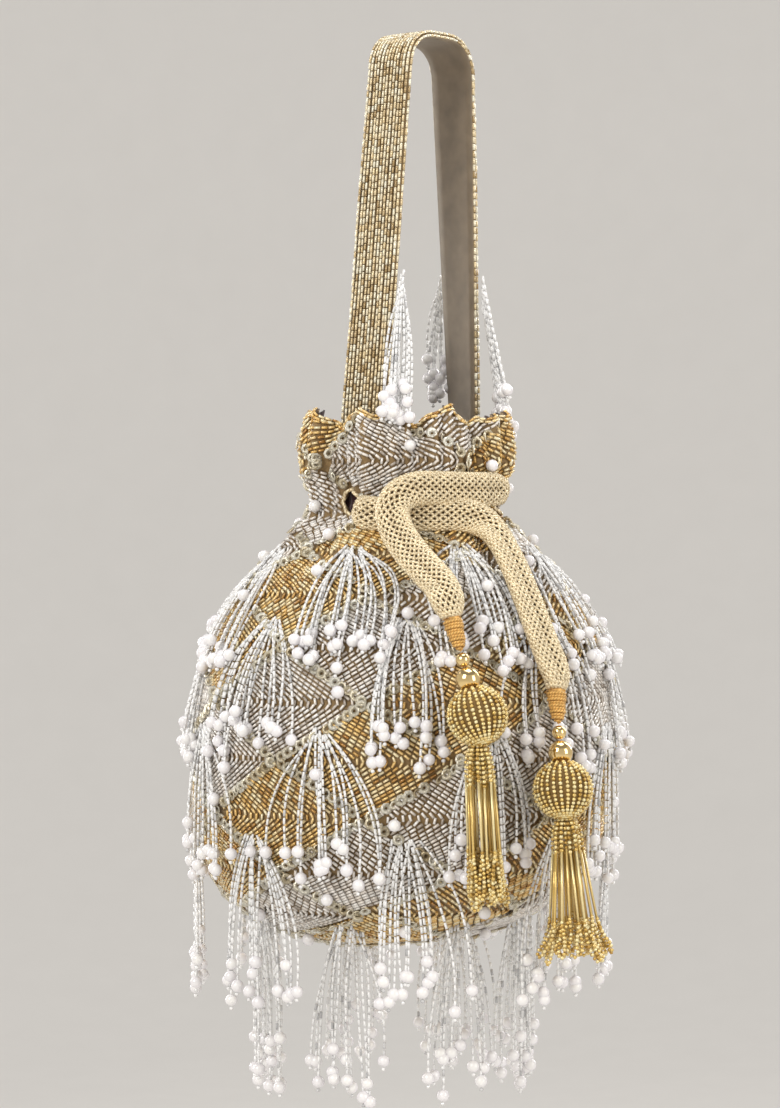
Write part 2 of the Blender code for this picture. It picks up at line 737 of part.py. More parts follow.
def fringe_cluster(name, walk, bend_heights, length, finish):
    """A sewn knot with its strands, as one solid. walk(start, end, length) walks one strand."""
    shape = bmesh.new()
    half = 0.5 * STRAND_WIDTH
    knot_steps = walk(0.0, 0.0, length)
    count = STRAND_COUNT
    rows = []
    for walked, share in ((0.0, KNOT_TOP_SHARE), (0.5 * KNOT_HEIGHT, KNOT_WAIST_SHARE), (KNOT_HEIGHT, 1.0)):
        row = []
        for column in range(count + 1):
            shift = (column - 0.5 * count) * STRAND_WIDTH * share
            front = shape.verts.new(place_on(knot_steps, walked, shift, half * share))
            back = shape.verts.new(place_on(knot_steps, walked, shift, -half))
            row.append((front, back))
        rows.append(row)
    for upper, lower in zip(rows, rows[1:]):
        for column in range(count):
            shape.faces.new((upper[column][0], upper[column + 1][0],
                             lower[column + 1][0], lower[column][0]))
            shape.faces.new((upper[column][1], lower[column][1],
                             lower[column + 1][1], upper[column + 1][1]))
        for column in (0, count):
            shape.faces.new((upper[column][0], lower[column][0], lower[column][1], upper[column][1]))
    for column in range(count):
        top = rows[0]
        shape.faces.new((top[column][0], top[column][1], top[column + 1][1], top[column + 1][0]))
        middle = column - 0.5 * (count - 1)
        strand_length = length + STRAND_LENGTH_CHANGES[column % len(STRAND_LENGTH_CHANGES)]
        steps = walk(middle * STRAND_WIDTH, middle * CLUSTER_SPREAD, strand_length)
        left, right = rows[-1][column], rows[-1][column + 1]
        loop = [left[0], right[0], right[1], left[1]]
        for walked, width in strand_rings(steps, bend_heights, strand_length):
            corners = ((-width, width), (width, width), (width, -width), (-width, -width))
            following = [shape.verts.new(place_on(steps, walked, side, depth)) for side, depth in corners]
            for corner in range(4):
                after = (corner + 1) % 4
                shape.faces.new((loop[corner], loop[after], following[after], following[corner]))
            loop = following
        shape.faces.new(loop)
    return add_mesh(name, shape, finish)


def make_body_fringe():
    """Five staggered tiers of clusters round the pouch."""
    rings = outer_rings()
    bends = [ring[1] for ring in rings if ring[1] >= BELLY_Z]
    finish = material("clear_beads", SILVER_BEADS, 0.1, 0.2)
    for tier, (share, length, first_azimuth) in enumerate(TIERS, start=1):
        for number in range(CLUSTERS_PER_TIER):
            azimuth = first_azimuth + number * 360.0 / CLUSTERS_PER_TIER
            knot_z = mix(CASING_BOTTOM_Z, BOTTOM_Z, share)
            start = (lie_radius(rings, azimuth, knot_z, 0.0), knot_z)

            def walk(start_offset, end_offset, reach, azimuth=azimuth, start=start):
                return hang_down(rings, azimuth, start_offset, end_offset, start, reach)

            fringe_cluster(f"fringe_tier{tier}_{number + 1}", walk, bends, length, finish)


def strap_edge(leg, height, side):
    """Point just off one edge of a strap leg at a height, and its azimuth and radius round the pouch."""
    middle = len(strap_frames()) // 2
    frames = strap_frames()[:middle] if leg == "front" else strap_frames()[middle:]
    frames = sorted(frames, key=lambda frame: -frame[0].z)
    index = 1
    while index < len(frames) - 1 and frames[index][0].z > height:
        index += 1
    before, after = frames[index - 1], frames[index]
    share = (before[0].z - height) / (before[0].z - after[0].z)
    point = mix(before[0], after[0], share)
    width = mix(before[1], after[1], share).normalized()
    facing = mix(before[2], after[2], share).normalized()
    knot_half_width = 0.5 * STRAND_COUNT * STRAND_WIDTH * KNOT_WAIST_SHARE
    point += side * (0.5 * STRAP_WIDTH + CLEARANCE + knot_half_width) * width
    point += 0.5 * strap_thickness() * facing
    flat = Vector((point.x - POUCH_AXIS_X, point.y))
    return math.degrees(math.atan2(flat.x, -flat.y)), flat.length


def make_strap_fringe():
    """Clusters that hang from the strap's edges: two of them over the collar, one inside it."""
    rings = outer_rings()
    finish = material("clear_strap_beads", SILVER_BEADS, 0.1, 0.2)
    for name, (drop, leg, side, rim_azimuth, length, fan_shift, fan_share) in STRAP_FRINGES.items():
        height = -drop
        azimuth, radius = strap_edge(leg, height, side)
        over_height = RIM_Z + RIM_WAVE + CLEARANCE + 0.5 * STRAND_WIDTH
        over_radius = RIM_RADIUS + FOLD_DEPTH + STRAND_WIDTH
        bends = [over_height] + [ring[1] for ring in rings if ring[1] >= CASING_TOP_Z]

        def walk(start_offset, end_offset, reach):
            end_offset = fan_share * end_offset + fan_shift
            if rim_azimuth is None:
                return lean_out((radius, height), (radius, height - 2.0 * length),
                                (azimuth, azimuth), start_offset, end_offset, reach)
            steps = lean_out((radius, height), (over_radius, over_height),
                             (azimuth, rim_azimuth), start_offset, end_offset, reach)
            last = steps[-1]
            if last[0] + MARCH_STEP < reach:
                share = (last[0] - KNOT_HEIGHT) / (reach - KNOT_HEIGHT)
                offset = mix(start_offset, end_offset, share)
                below = hang_down(rings, rim_azimuth, offset, end_offset,
                                  (over_radius, over_height), reach - last[0])
                steps += [(last[0] + step[0], *step[1:]) for step in below[1:]]
            return steps

        fringe_cluster(name, walk, bends, length, finish)


def clear_scene():
    """Remove whatever the file starts with."""
    for thing in list(bpy.data.objects):
        bpy.data.objects.remove(thing, do_unlink=True)


def main():
    """Build every piece of the bag."""
    clear_scene()
    make_pouch()
    make_strap()
    make_drawstrings()
    make_body_fringe()
    make_strap_fringe()


main()
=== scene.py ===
# %% [markdown]
# # A beaded potli bag
#
# A potli is a small drawstring bag for a wedding or a festival. This one is a gathered
# pouch of tissue cloth, sewn all over with bugle beads in leaf-shaped fields, and hung
# with tiers of beaded strands. Every size here is in metres. The frame is +Z up, the
# origin is under the top of the strap, and the tied side of the pouch faces -Y.

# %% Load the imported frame
import math

import bmesh
import bpy
import numpy as np
from mathutils import Matrix, Vector


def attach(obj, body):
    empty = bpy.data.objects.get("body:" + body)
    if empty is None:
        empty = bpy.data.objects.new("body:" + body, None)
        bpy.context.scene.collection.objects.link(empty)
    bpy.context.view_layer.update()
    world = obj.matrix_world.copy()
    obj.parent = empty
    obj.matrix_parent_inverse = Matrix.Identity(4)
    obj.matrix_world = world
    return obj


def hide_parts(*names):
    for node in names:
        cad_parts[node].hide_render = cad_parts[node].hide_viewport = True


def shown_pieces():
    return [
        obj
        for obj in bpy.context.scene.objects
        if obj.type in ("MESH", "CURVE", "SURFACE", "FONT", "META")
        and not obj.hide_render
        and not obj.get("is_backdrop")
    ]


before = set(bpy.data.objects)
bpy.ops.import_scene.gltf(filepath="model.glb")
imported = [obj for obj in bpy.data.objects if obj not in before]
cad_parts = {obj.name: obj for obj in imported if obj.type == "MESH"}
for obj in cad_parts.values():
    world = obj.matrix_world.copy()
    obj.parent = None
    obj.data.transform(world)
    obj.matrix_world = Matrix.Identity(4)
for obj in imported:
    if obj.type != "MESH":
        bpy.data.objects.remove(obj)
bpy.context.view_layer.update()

# %% [markdown]
# ## Camera
#
# The photograph shows the bag from the front, level with its middle, with no visible
# perspective from above. A long lens 1.25 m away gives the same outline.

# %% Place the camera
CAMERA_PLACE = (-0.0118, -1.25, -0.1882)
LENS_MM = 110.47
SENSOR_MM = 36.0


def place_camera():
    """A level camera in front of the bag, with everything in focus."""
    data = bpy.data.cameras.new("camera")
    data.sensor_fit = "AUTO"
    data.sensor_width = SENSOR_MM
    data.lens = LENS_MM
    data.dof.use_dof = False
    camera = bpy.data.objects.new("camera", data)
    camera.location = CAMERA_PLACE
    camera.rotation_euler = (math.radians(90.0), 0.0, 0.0)
    bpy.context.scene.collection.objects.link(camera)
    bpy.context.scene.camera = camera
    return camera


camera = place_camera()
print("camera", [round(x, 4) for x in camera.location], "lens", LENS_MM, "mm")

# %% [markdown]
# ## Small tools for materials
#
# Each material is a short tree of nodes. These helpers add a node, join two sockets and
# make groups, so that an effect that several materials need is written once.

# %% Node helpers


def add_node(tree, kind, place, **settings):
    """Add a node at a place in the tree and set its plain properties."""
    node = tree.nodes.new(kind)
    node.location = place
    for name, value in settings.items():
        setattr(node, name, value)
    return node


def math_node(tree, operation, place, first, second=None, clamp=False):
    """A Math node whose inputs are sockets or numbers. Returns its output."""
    node = add_node(tree, "ShaderNodeMath", place, operation=operation, use_clamp=clamp)
    for socket, value in zip(node.inputs, (first, second)):
        if value is None:
            continue
        if isinstance(value, (int, float)):
            socket.default_value = value
        else:
            tree.links.new(value, socket)
    return node.outputs[0]


def mix_colours(tree, place, share, first, second, blend="MIX"):
    """A colour mix whose inputs are sockets or colours. Returns its output."""
    node = add_node(tree, "ShaderNodeMix", place, data_type="RGBA", blend_type=blend)
    for index, value in ((0, share), (6, first), (7, second)):
        socket = node.inputs[index]
        if isinstance(value, (int, float, tuple)):
            socket.default_value = value
        else:
            tree.links.new(value, socket)
    return node.outputs[2]


def noise(tree, place, scale, detail=2.0):
    """A noise that is fixed to the object. Returns its factor."""
    where = add_node(tree, "ShaderNodeTexCoord", (place[0] - 200, place[1]))
    node = add_node(tree, "ShaderNodeTexNoise", place)
    node.inputs["Scale"].default_value = scale
    node.inputs["Detail"].default_value = detail
    tree.links.new(where.outputs["Object"], node.inputs["Vector"])
    return node.outputs["Fac"]


def add_bump(tree, shader, height, strength, distance):
    """Let a height bend the shader's normal. distance is in metres."""
    bump = add_node(tree, "ShaderNodeBump", (400, -300))
    bump.inputs["Strength"].default_value = strength
    bump.inputs["Distance"].default_value = distance
    tree.links.new(height, bump.inputs["Height"])
    tree.links.new(bump.outputs["Normal"], shader.inputs["Normal"])


def new_group(name, inputs, outputs):
    """An empty shader node group with named inputs and outputs."""
    group = bpy.data.node_groups.new(name, "ShaderNodeTree")
    for label, kind, value in inputs:
        socket = group.interface.new_socket(label, in_out="INPUT", socket_type=kind)
        socket.default_value = value
    for label, kind in outputs:
        group.interface.new_socket(label, in_out="OUTPUT", socket_type=kind)
    start = add_node(group, "NodeGroupInput", (-900, 0))
    end = add_node(group, "NodeGroupOutput", (900, 0))
    return group, start, end


def new_material(name, roughness, metallic=0.0):
    """A material with one Principled shader. Returns the material, its tree and the shader."""
    made = bpy.data.materials.new(name)
    made.use_nodes = True
    tree = made.node_tree
    shader = tree.nodes["Principled BSDF"]
    shader.location = (700, 0)
    tree.nodes["Material Output"].location = (1000, 0)
    shader.inputs["Roughness"].default_value = roughness
    shader.inputs["Metallic"].default_value = metallic
    return made, tree, shader


def use_group(tree, group, place, **values):
    """Put a node group in a material and set its inputs by name."""
    node = add_node(tree, "ShaderNodeGroup", place)
    node.node_tree = group
    for label, value in values.items():
        socket = node.inputs[label.replace("_", " ")]
        if isinstance(value, (int, float, tuple)):
            socket.default_value = value
        else:
            tree.links.new(value, socket)
    return node


print("node helpers ready")

# %% [markdown]
# ## Shared effects
#
# A silver-lined bead looks bright along its middle and dark at its sides, and no two beads
# catch the light alike; both are painted. Each bead carries its own random number, and the
# bead group turns that number into a colour, from painted shade through the bead's own tone
# to a painted glint. The weave group draws crossed threads, and the ply group draws the
# slanting twist of a yarn with painted shade between its plies.

# %% Node groups


def bead_group():
    """Colour and roughness of one bead from its random number: painted shade at the dark end, painted glint
    at the light end.
    """
    group, start, end = new_group(
        "bead_colours",
        (("Dark", "NodeSocketColor", (0.2, 0.1, 0.02, 1.0)),
         ("Middle", "NodeSocketColor", (0.6, 0.35, 0.1, 1.0)),
         ("Light", "NodeSocketColor", (1.0, 0.8, 0.5, 1.0)),
         ("Dark Share", "NodeSocketFloat", 0.35),
         ("Roughness", "NodeSocketFloat", 0.2)),
        (("Color", "NodeSocketColor"), ("Roughness", "NodeSocketFloat"),
         ("Random", "NodeSocketFloat")))
    links = group.links
    own = add_node(group, "ShaderNodeAttribute", (-700, 200), attribute_name="bead_random")
    random = own.outputs["Fac"]
    low = math_node(group, "DIVIDE", (-500, 200), random, start.outputs["Dark Share"], clamp=True)
    above = math_node(group, "SUBTRACT", (-500, 0), random, start.outputs["Dark Share"], clamp=True)
    rest = math_node(group, "SUBTRACT", (-500, -160), 1.0, start.outputs["Dark Share"])
    high = math_node(group, "DIVIDE", (-300, 0), above, rest, clamp=True)
    # Painted shade and glint: a low number mixes towards Dark and a high one towards Light, so each bead
    # looks shaded or lit at random.
    shaded = mix_colours(group, (-100, 200), low, start.outputs["Dark"], start.outputs["Middle"])
    lit = mix_colours(group, (100, 200), high, shaded, start.outputs["Light"])
    streaks = noise(group, (-500, -300), 2600.0, 1.0)
    uneven = math_node(group, "MULTIPLY", (-300, -300), streaks, 0.5)
    level = math_node(group, "ADD", (-100, -300), uneven, 0.75)
    shade = add_node(group, "ShaderNodeCombineColor", (80, -300))
    for socket in shade.inputs:
        links.new(level, socket)
    colour = mix_colours(group, (300, 200), 1.0, lit, shade.outputs["Color"], "MULTIPLY")
    rough = math_node(group, "MULTIPLY", (300, -100), random, 0.16)
    rough = math_node(group, "ADD", (500, -100), rough, start.outputs["Roughness"])
    links.new(colour, end.inputs["Color"])
    links.new(rough, end.inputs["Roughness"])
    links.new(random, end.inputs["Random"])
    return group


def weave_group():
    """Crossed threads on a UV map laid out in metres, as a mask and a height."""
    group, start, end = new_group(
        "weave",
        (("Thread Pitch", "NodeSocketFloat", 0.0005),),
        (("Height", "NodeSocketFloat"), ("Gaps", "NodeSocketFloat")))
    links = group.links
    cloth = add_node(group, "ShaderNodeUVMap", (-900, -300), uv_map="cloth")
    split = add_node(group, "ShaderNodeSeparateXYZ", (-700, -200))
    links.new(cloth.outputs["UV"], split.inputs[0])
    turns = math_node(group, "DIVIDE", (-700, 0), 2.0 * math.pi, start.outputs["Thread Pitch"])
    waves = []
    for row, axis in enumerate(("X", "Y")):
        angle = math_node(group, "MULTIPLY", (-500, -200 * row), split.outputs[axis], turns)
        wave = math_node(group, "SINE", (-300, -200 * row), angle)
        waves.append(math_node(group, "ABSOLUTE", (-100, -200 * row), wave))
    height = math_node(group, "MAXIMUM", (100, 0), waves[0], waves[1])
    both = math_node(group, "MULTIPLY", (100, -200), waves[0], waves[1])
    gaps = math_node(group, "POWER", (300, -200), both, 0.5)
    links.new(height, end.inputs["Height"])
    links.new(gaps, end.inputs["Gaps"])
    return group


def ply_group():
    """The slanting plies of a yarn on its own UV map: U half round it and back, V in turns along it."""
    group, start, end = new_group(
        "yarn_plies",
        (("Plies", "NodeSocketFloat", 3.0), ("Slant", "NodeSocketFloat", 1.0)),
        (("Height", "NodeSocketFloat"), ("Shadow", "NodeSocketFloat")))
    links = group.links
    yarn = add_node(group, "ShaderNodeUVMap", (-900, -300), uv_map="yarn")
    split = add_node(group, "ShaderNodeSeparateXYZ", (-700, -200))
    links.new(yarn.outputs["UV"], split.inputs[0])
    along = math_node(group, "MULTIPLY", (-500, -100), split.outputs["Y"], start.outputs["Slant"])
    mixed = math_node(group, "ADD", (-300, -100), split.outputs["X"], along)
    count = math_node(group, "MULTIPLY", (-100, -100), mixed, start.outputs["Plies"])
    angle = math_node(group, "MULTIPLY", (100, -100), count, math.pi)
    wave = math_node(group, "SINE", (300, -100), angle)
    height = math_node(group, "ABSOLUTE", (500, -100), wave)
    # Shadow is painted shade that darkens the grooves between the plies.
    shadow = math_node(group, "POWER", (700, -200), height, 0.6)
    links.new(height, end.inputs["Height"])
    links.new(shadow, end.inputs["Shadow"])
    return group


BEAD_COLOURS = bead_group()
WEAVE = weave_group()
PLIES = ply_group()
print("node groups", [group.name for group in (BEAD_COLOURS, WEAVE, PLIES)])

# %% [markdown]
# ## Studio
#
# Large soft boxes from the left, the right and above light the beads evenly, and two
# narrow ones behind the bag brighten its edges. The backdrop is one round pale sheet,
# well below the bag, that bends up into a wall on all sides.

# %% Light the studio
FLOOR_HEIGHT = -0.62
STUDIO_RADIUS = 2.4
STUDIO_BEND = 0.9
STUDIO_WALL_TOP = 1.9
STUDIO_SIDES = 96
BAG_MIDDLE = (0.0, 0.0, -0.19)
WARM_WHITE = (1.0, 0.98, 0.95)
# Name, place, width and height, watts and colour
SOFT_BOXES = (
    ("key", (-0.9, -1.15, 0.55), (0.7, 0.9), 13.0, WARM_WHITE),
    ("fill", (1.15, -0.85, 0.10), (0.6, 1.0), 6.5, (1.0, 0.98, 0.96)),
    ("top", (0.05, 0.05, 1.05), (0.9, 0.7), 7.5, (1.0, 1.0, 1.0)),
    ("rim", (0.75, 0.75, 0.35), (0.35, 0.9), 6.0, WARM_WHITE),
    ("rim_left", (-0.8, 0.7, 0.05), (0.35, 0.9), 5.0, WARM_WHITE),
)
WORLD_COLOUR = (0.72, 0.71, 0.70, 1.0)
WORLD_STRENGTH = 0.42


def backdrop_material():
    """Pale warm grey paper with a faint tooth and an even glow that stands for the room's light.

    Its back is clear, so that the bag can also be looked at from outside and from below.
    """
    made, tree, shader = new_material("backdrop_paper", 0.9)
    colour = mix_colours(tree, (0, 0), noise(tree, (-300, 0), 30.0),
                         (0.37, 0.355, 0.335, 1.0), (0.40, 0.385, 0.365, 1.0))
    tree.links.new(colour, shader.inputs["Base Color"])
    shader.inputs["Emission Color"].default_value = (0.72, 0.70, 0.67, 1.0)
    shader.inputs["Emission Strength"].default_value = 0.46
    side = add_node(tree, "ShaderNodeNewGeometry", (200, 300))
    clear = add_node(tree, "ShaderNodeBsdfTransparent", (200, -200))
    either = add_node(tree, "ShaderNodeMixShader", (500, 100))
    tree.links.new(side.outputs["Backfacing"], either.inputs["Fac"])
    tree.links.new(shader.outputs["BSDF"], either.inputs[1])
    tree.links.new(clear.outputs["BSDF"], either.inputs[2])
    end = next(node for node in tree.nodes if node.type == "OUTPUT_MATERIAL")
    tree.links.new(either.outputs["Shader"], end.inputs["Surface"])
    return made


def make_backdrop():
    """A round sheet of paper under the bag that bends up into a wall on all sides."""
    profile = [(STUDIO_RADIUS * share, FLOOR_HEIGHT) for share in (0.15, 0.4, 0.6)]
    steps = 12
    for step in range(1, steps + 1):
        turn = 0.5 * math.pi * step / steps
        profile.append((STUDIO_RADIUS - STUDIO_BEND * (1.0 - math.sin(turn)),
                        FLOOR_HEIGHT + STUDIO_BEND * (1.0 - math.cos(turn))))
    profile.append((STUDIO_RADIUS, STUDIO_WALL_TOP))
    shape = bmesh.new()
    middle = shape.verts.new((0.0, 0.0, FLOOR_HEIGHT))
    turns = [2.0 * math.pi * side / STUDIO_SIDES for side in range(STUDIO_SIDES)]
    rows = [[shape.verts.new((radius * math.cos(turn), radius * math.sin(turn), height)) for turn in turns]
            for radius, height in profile]
    for side in range(STUDIO_SIDES):
        after = (side + 1) % STUDIO_SIDES
        shape.faces.new((middle, rows[0][side], rows[0][after]))
        for inner, outer in zip(rows, rows[1:]):
            shape.faces.new((inner[side], outer[side], outer[after], inner[after]))
    mesh = bpy.data.meshes.new("backdrop")
    shape.to_mesh(mesh)
    shape.free()
    mesh.shade_smooth()
    mesh.materials.append(backdrop_material())
    made = bpy.data.objects.new("backdrop", mesh)
    bpy.context.scene.collection.objects.link(made)
    made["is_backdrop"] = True
    return made


def soft_box(name, place, size, watts, tint):
    """A rectangular area light that faces the bag."""
    data = bpy.data.lights.new(name, "AREA")
    data.shape = "RECTANGLE"
    data.size, data.size_y = size
    data.energy = watts
    data.color = tint
    light = bpy.data.objects.new(name, data)
    light.location = place
    aim = Vector(BAG_MIDDLE) - Vector(place)
    light.rotation_euler = aim.to_track_quat("-Z", "Y").to_euler()
    bpy.context.scene.collection.objects.link(light)
    return light


def make_studio():
    """Backdrop, soft boxes and a grey world that fills the shadows."""
    make_backdrop()
    for box in SOFT_BOXES:
        soft_box(*box)
    world = bpy.data.worlds.new("studio")
    world.use_nodes = True
    background = world.node_tree.nodes["Background"]
    background.inputs["Color"].default_value = WORLD_COLOUR
    background.inputs["Strength"].default_value = WORLD_STRENGTH
    bpy.context.scene.world = world
    bpy.context.scene.view_settings.view_transform = "Standard"


make_studio()
print("studio lights", sorted(light.name for light in bpy.data.lights))

# %% [markdown]
# ## Small tools for shapes
#
# The next cell turns lists of points into meshes, sweeps a tube or a ribbon along a
# line, and finishes a piece: which body it moves with, and which solid it stands for.

# %% Shape helpers
POUCH_AXIS_X = -0.006


def mix(start, end, share):
    """Blend two numbers or vectors."""
    return start + (end - start) * share


def sideways(azimuth):
    """Unit vectors along the pouch's wall at azimuths in degrees."""
    turn = np.radians(azimuth)
    return np.stack([np.cos(turn), np.sin(turn), np.zeros_like(turn)], axis=-1)


def outward(azimuth):
    """Unit vectors away from the pouch's axis at azimuths in degrees."""
    turn = np.radians(azimuth)
    return np.stack([np.sin(turn), -np.cos(turn), np.zeros_like(turn)], axis=-1)


def wrapped(azimuth):
    """Azimuths brought between -180 and 180."""
    return (np.asarray(azimuth, dtype=float) + 180.0) % 360.0 - 180.0


def unit(vectors):
    """Vectors scaled to length one."""
    return vectors / np.maximum(np.linalg.norm(vectors, axis=-1, keepdims=True), 1e-12)


def mesh_object(name, points, faces, material):
    """A smooth mesh object at the origin from points and faces."""
    mesh = bpy.data.meshes.new(name)
    mesh.from_pydata([tuple(map(float, point)) for point in points], [], faces)
    mesh.materials.append(material)
    mesh.shade_smooth()
    return object_of(name, mesh)


def object_of(name, mesh):
    """Put a mesh in the scene as an object."""
    made = bpy.data.objects.new(name, mesh)
    bpy.context.scene.collection.objects.link(made)
    return made


def set_uv(made, name, uv_of_vertex):
    """A UV map from one (u, v) pair for each vertex."""
    layer = made.data.uv_layers.new(name=name)
    corners = np.empty(len(made.data.loops), dtype=np.int32)
    made.data.loops.foreach_get("vertex_index", corners)
    layer.data.foreach_set("uv", np.asarray(uv_of_vertex, dtype=np.float32)[corners].ravel())


def catmull(points, pieces=12):
    """A smooth curve through the given points, with some pieces between each two."""
    points = np.asarray(points, dtype=float)
    padded = np.vstack([2.0 * points[0] - points[1], points, 2.0 * points[-1] - points[-2]])
    dense = []
    for index in range(1, len(padded) - 2):
        before, start, end, after = padded[index - 1:index + 3]
        for piece in range(pieces):
            t = piece / pieces
            bend = (2.0 * before - 5.0 * start + 4.0 * end - after) * t ** 2
            twist = (3.0 * start - before - 3.0 * end + after) * t ** 3
            dense.append(0.5 * (2.0 * start + (end - before) * t + bend + twist))
    dense.append(points[-1])
    return np.array(dense)


def walked_lengths(points):
    """Length walked along a line at each of its points."""
    steps = np.linalg.norm(np.diff(points, axis=0), axis=1)
    return np.concatenate([[0.0], np.cumsum(steps)])


def even_points(points, count):
    """The same line with a number of evenly spaced points."""
    walked = walked_lengths(points)
    targets = np.linspace(0.0, walked[-1], count)
    return np.stack([np.interp(targets, walked, points[:, axis]) for axis in range(3)], axis=1)


def line_frames(points, side_hint):
    """Unit tangent, side and face of a line at each point. side_hint is near the side wanted."""
    tangents = unit(np.gradient(points, axis=0))
    hint = np.broadcast_to(np.asarray(side_hint, dtype=float), points.shape)
    sides = unit(hint - np.sum(hint * tangents, axis=1, keepdims=True) * tangents)
    return tangents, sides, np.cross(tangents, sides)


def tube_faces(rows, sections):
    """Quads between the rings of a tube, and one face to close each end."""
    faces = []
    for row in range(rows - 1):
        for step in range(sections):
            right = (step + 1) % sections
            faces.append((row * sections + step, row * sections + right,
                          (row + 1) * sections + right, (row + 1) * sections + step))
    last = (rows - 1) * sections
    faces.append(tuple(range(sections))[::-1])
    faces.append(tuple(range(last, last + sections)))
    return faces


def tube_grid(points, radius, sections, side_hint=(0.0, 0.0, 1.0)):
    """Vertices, quads and yarn UVs of a round tube along a line, with closed ends."""
    points = np.asarray(points, dtype=float)
    _, sides, ups = line_frames(points, side_hint)
    turn = 2.0 * np.pi * np.arange(sections) / sections
    radii = np.broadcast_to(np.asarray(radius, dtype=float), (len(points),))
    ring = (np.cos(turn)[None, :, None] * sides[:, None] + np.sin(turn)[None, :, None] * ups[:, None])
    vertices = (points[:, None] + radii[:, None, None] * ring).reshape(-1, 3)
    walked = walked_lengths(points)
    u = np.tile(np.minimum(np.arange(sections), sections - np.arange(sections)) / sections, len(points))
    v = np.repeat(walked / max(2.0 * np.pi * float(radii.max()), 1e-9), sections)
    return vertices, tube_faces(len(points), sections), np.stack([u, v], axis=1)


def join_grids(grids):
    """One list of vertices, faces and UVs from many."""
    vertices, faces, uvs, start = [], [], [], 0
    for points, quads, uv in grids:
        vertices.append(points)
        uvs.append(uv)
        faces.extend(tuple(index + start for index in face) for face in quads)
        start += len(points)
    return np.vstack(vertices), faces, np.vstack(uvs)


def face_outwards(made):
    """Turn a closed mesh's faces outwards."""
    shape = bmesh.new()
    shape.from_mesh(made.data)
    bmesh.ops.recalc_face_normals(shape, faces=shape.faces)
    shape.to_mesh(made.data)
    shape.free()


def finish_piece(made, body, nodes=()):
    """Let a piece ride on its body, and hide the solids that it stands for."""
    if nodes:
        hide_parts(*nodes)
    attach(made, body)
    return made


def triangles(made):
    """Number of triangles in a piece."""
    made.data.calc_loop_triangles()
    return len(made.data.loop_triangles)


print("shape helpers ready")

# %% [markdown]
# ## The shape of the pouch
#
# The pouch is a cup of cloth, wide at the belly and drawn in at the neck. Its profile
# goes from the rim, over the collar and the drawn casing, down the shoulder and round
# the base. Everything that is sewn to it takes its place from one surface: an azimuth
# round the axis, and a length walked down the profile from the rim.

# %% Pouch surface
STRAP_RISE = 0.139
COLLAR_HEIGHT = 0.0255
CASING_HEIGHT = 0.010
SHOULDER_HEIGHT = 0.0905
BASE_DEPTH = 0.064
RIM_RADIUS = 0.0345
COLLAR_RADIUS = 0.0370
CASING_RADIUS = 0.0340
BODY_RADIUS = 0.0765
BASE_CURVE = 2.6
BASE_LEAN = -0.008
FOLD_COUNT = 8
FOLD_DEPTH = 0.0036
FOLD_PHASE = 22.5
RIM_WAVE = 0.0025
# Share of the fold depth, number round the bag, phase, and turn per metre down
FINE_FOLDS = ((0.34, 19.0, 0.7, 60.0), (0.22, 31.0, -0.35, -36.0))
# Height, number round the bag and phase
FINE_RUFFLES = ((0.0012, 13.0, 1.0), (0.0008, 29.0, 0.0))
RUFFLE_REACH = 0.012
CREASE_DEPTH = 0.0009
CREASE_COUNT = 43.0
CREASE_REACH = 0.075
SAG_DEPTH = 0.0007
SAG_FROM = 0.09
CASING_FOLD_SHARE = 0.55
SLIT_AZIMUTHS = (-36.0, 72.0)
SLIT_HALF_WIDTH = 9.0
SLIT_HALF_HEIGHT = 0.0044

RIM_Z = -STRAP_RISE
CASING_TOP_Z = RIM_Z - COLLAR_HEIGHT
CASING_BOTTOM_Z = CASING_TOP_Z - CASING_HEIGHT
BELLY_Z = CASING_BOTTOM_Z - SHOULDER_HEIGHT
BOTTOM_Z = BELLY_Z - BASE_DEPTH

COLLAR_RINGS = ((0.0, 1.0, 1.0), (0.30, 0.1, 0.95), (0.68, 0.0, 0.80))
SHOULDER_RINGS = ((0.05, 0.12, 0.50), (0.15, 0.34, 0.36), (0.30, 0.61, 0.16),
                  (0.52, 0.86, 0.0), (0.76, 0.976, 0.0))
BASE_RING_ANGLES = (18.0, 36.0, 52.0, 67.0, 81.0)


def profile_rings():
    """The pouch's rings from rim to bottom, as (radius, height, fold depth, lean)."""
    rings = []
    for share, blend, fold in COLLAR_RINGS:
        rings.append((mix(COLLAR_RADIUS, RIM_RADIUS, blend), RIM_Z - share * COLLAR_HEIGHT,
                      fold * FOLD_DEPTH, 0.0))
    for height in (CASING_TOP_Z, CASING_BOTTOM_Z):
        rings.append((CASING_RADIUS, height, CASING_FOLD_SHARE * FOLD_DEPTH, 0.0))
    for share, blend, fold in SHOULDER_RINGS:
        rings.append((mix(CASING_RADIUS, BODY_RADIUS, blend),
                      CASING_BOTTOM_Z - share * SHOULDER_HEIGHT, fold * FOLD_DEPTH, 0.0))
    rings.append((BODY_RADIUS, BELLY_Z, 0.0, 0.0))
    for angle in BASE_RING_ANGLES:
        across = math.cos(math.radians(angle)) ** (2.0 / BASE_CURVE)
        down = math.sin(math.radians(angle)) ** (2.0 / BASE_CURVE)
        rings.append((BODY_RADIUS * across, BELLY_Z - BASE_DEPTH * down, 0.0, BASE_LEAN * down ** 2))
    rings.append((0.0, BOTTOM_Z, 0.0, BASE_LEAN))
    return np.array(rings)


def profile_table():
    """Dense columns down the profile: walked length, radius, height, fold depth and lean."""
    rings = profile_rings()
    line = catmull(np.column_stack([rings[:, 0], rings[:, 1], np.zeros(len(rings))]), 16)
    place = np.linspace(0.0, len(rings) - 1.0, len(line))
    steps = np.arange(len(rings))
    fold = np.interp(place, steps, rings[:, 2])
    lean = np.interp(place, steps, rings[:, 3])
    return np.column_stack([walked_lengths(line), np.maximum(line[:, 0], 0.0), line[:, 1], fold, lean])


PROFILE = profile_table()
DOWN, RADIUS, HEIGHT, FOLD, LEAN = PROFILE.T
CLOTH_LENGTH = float(DOWN[-1])


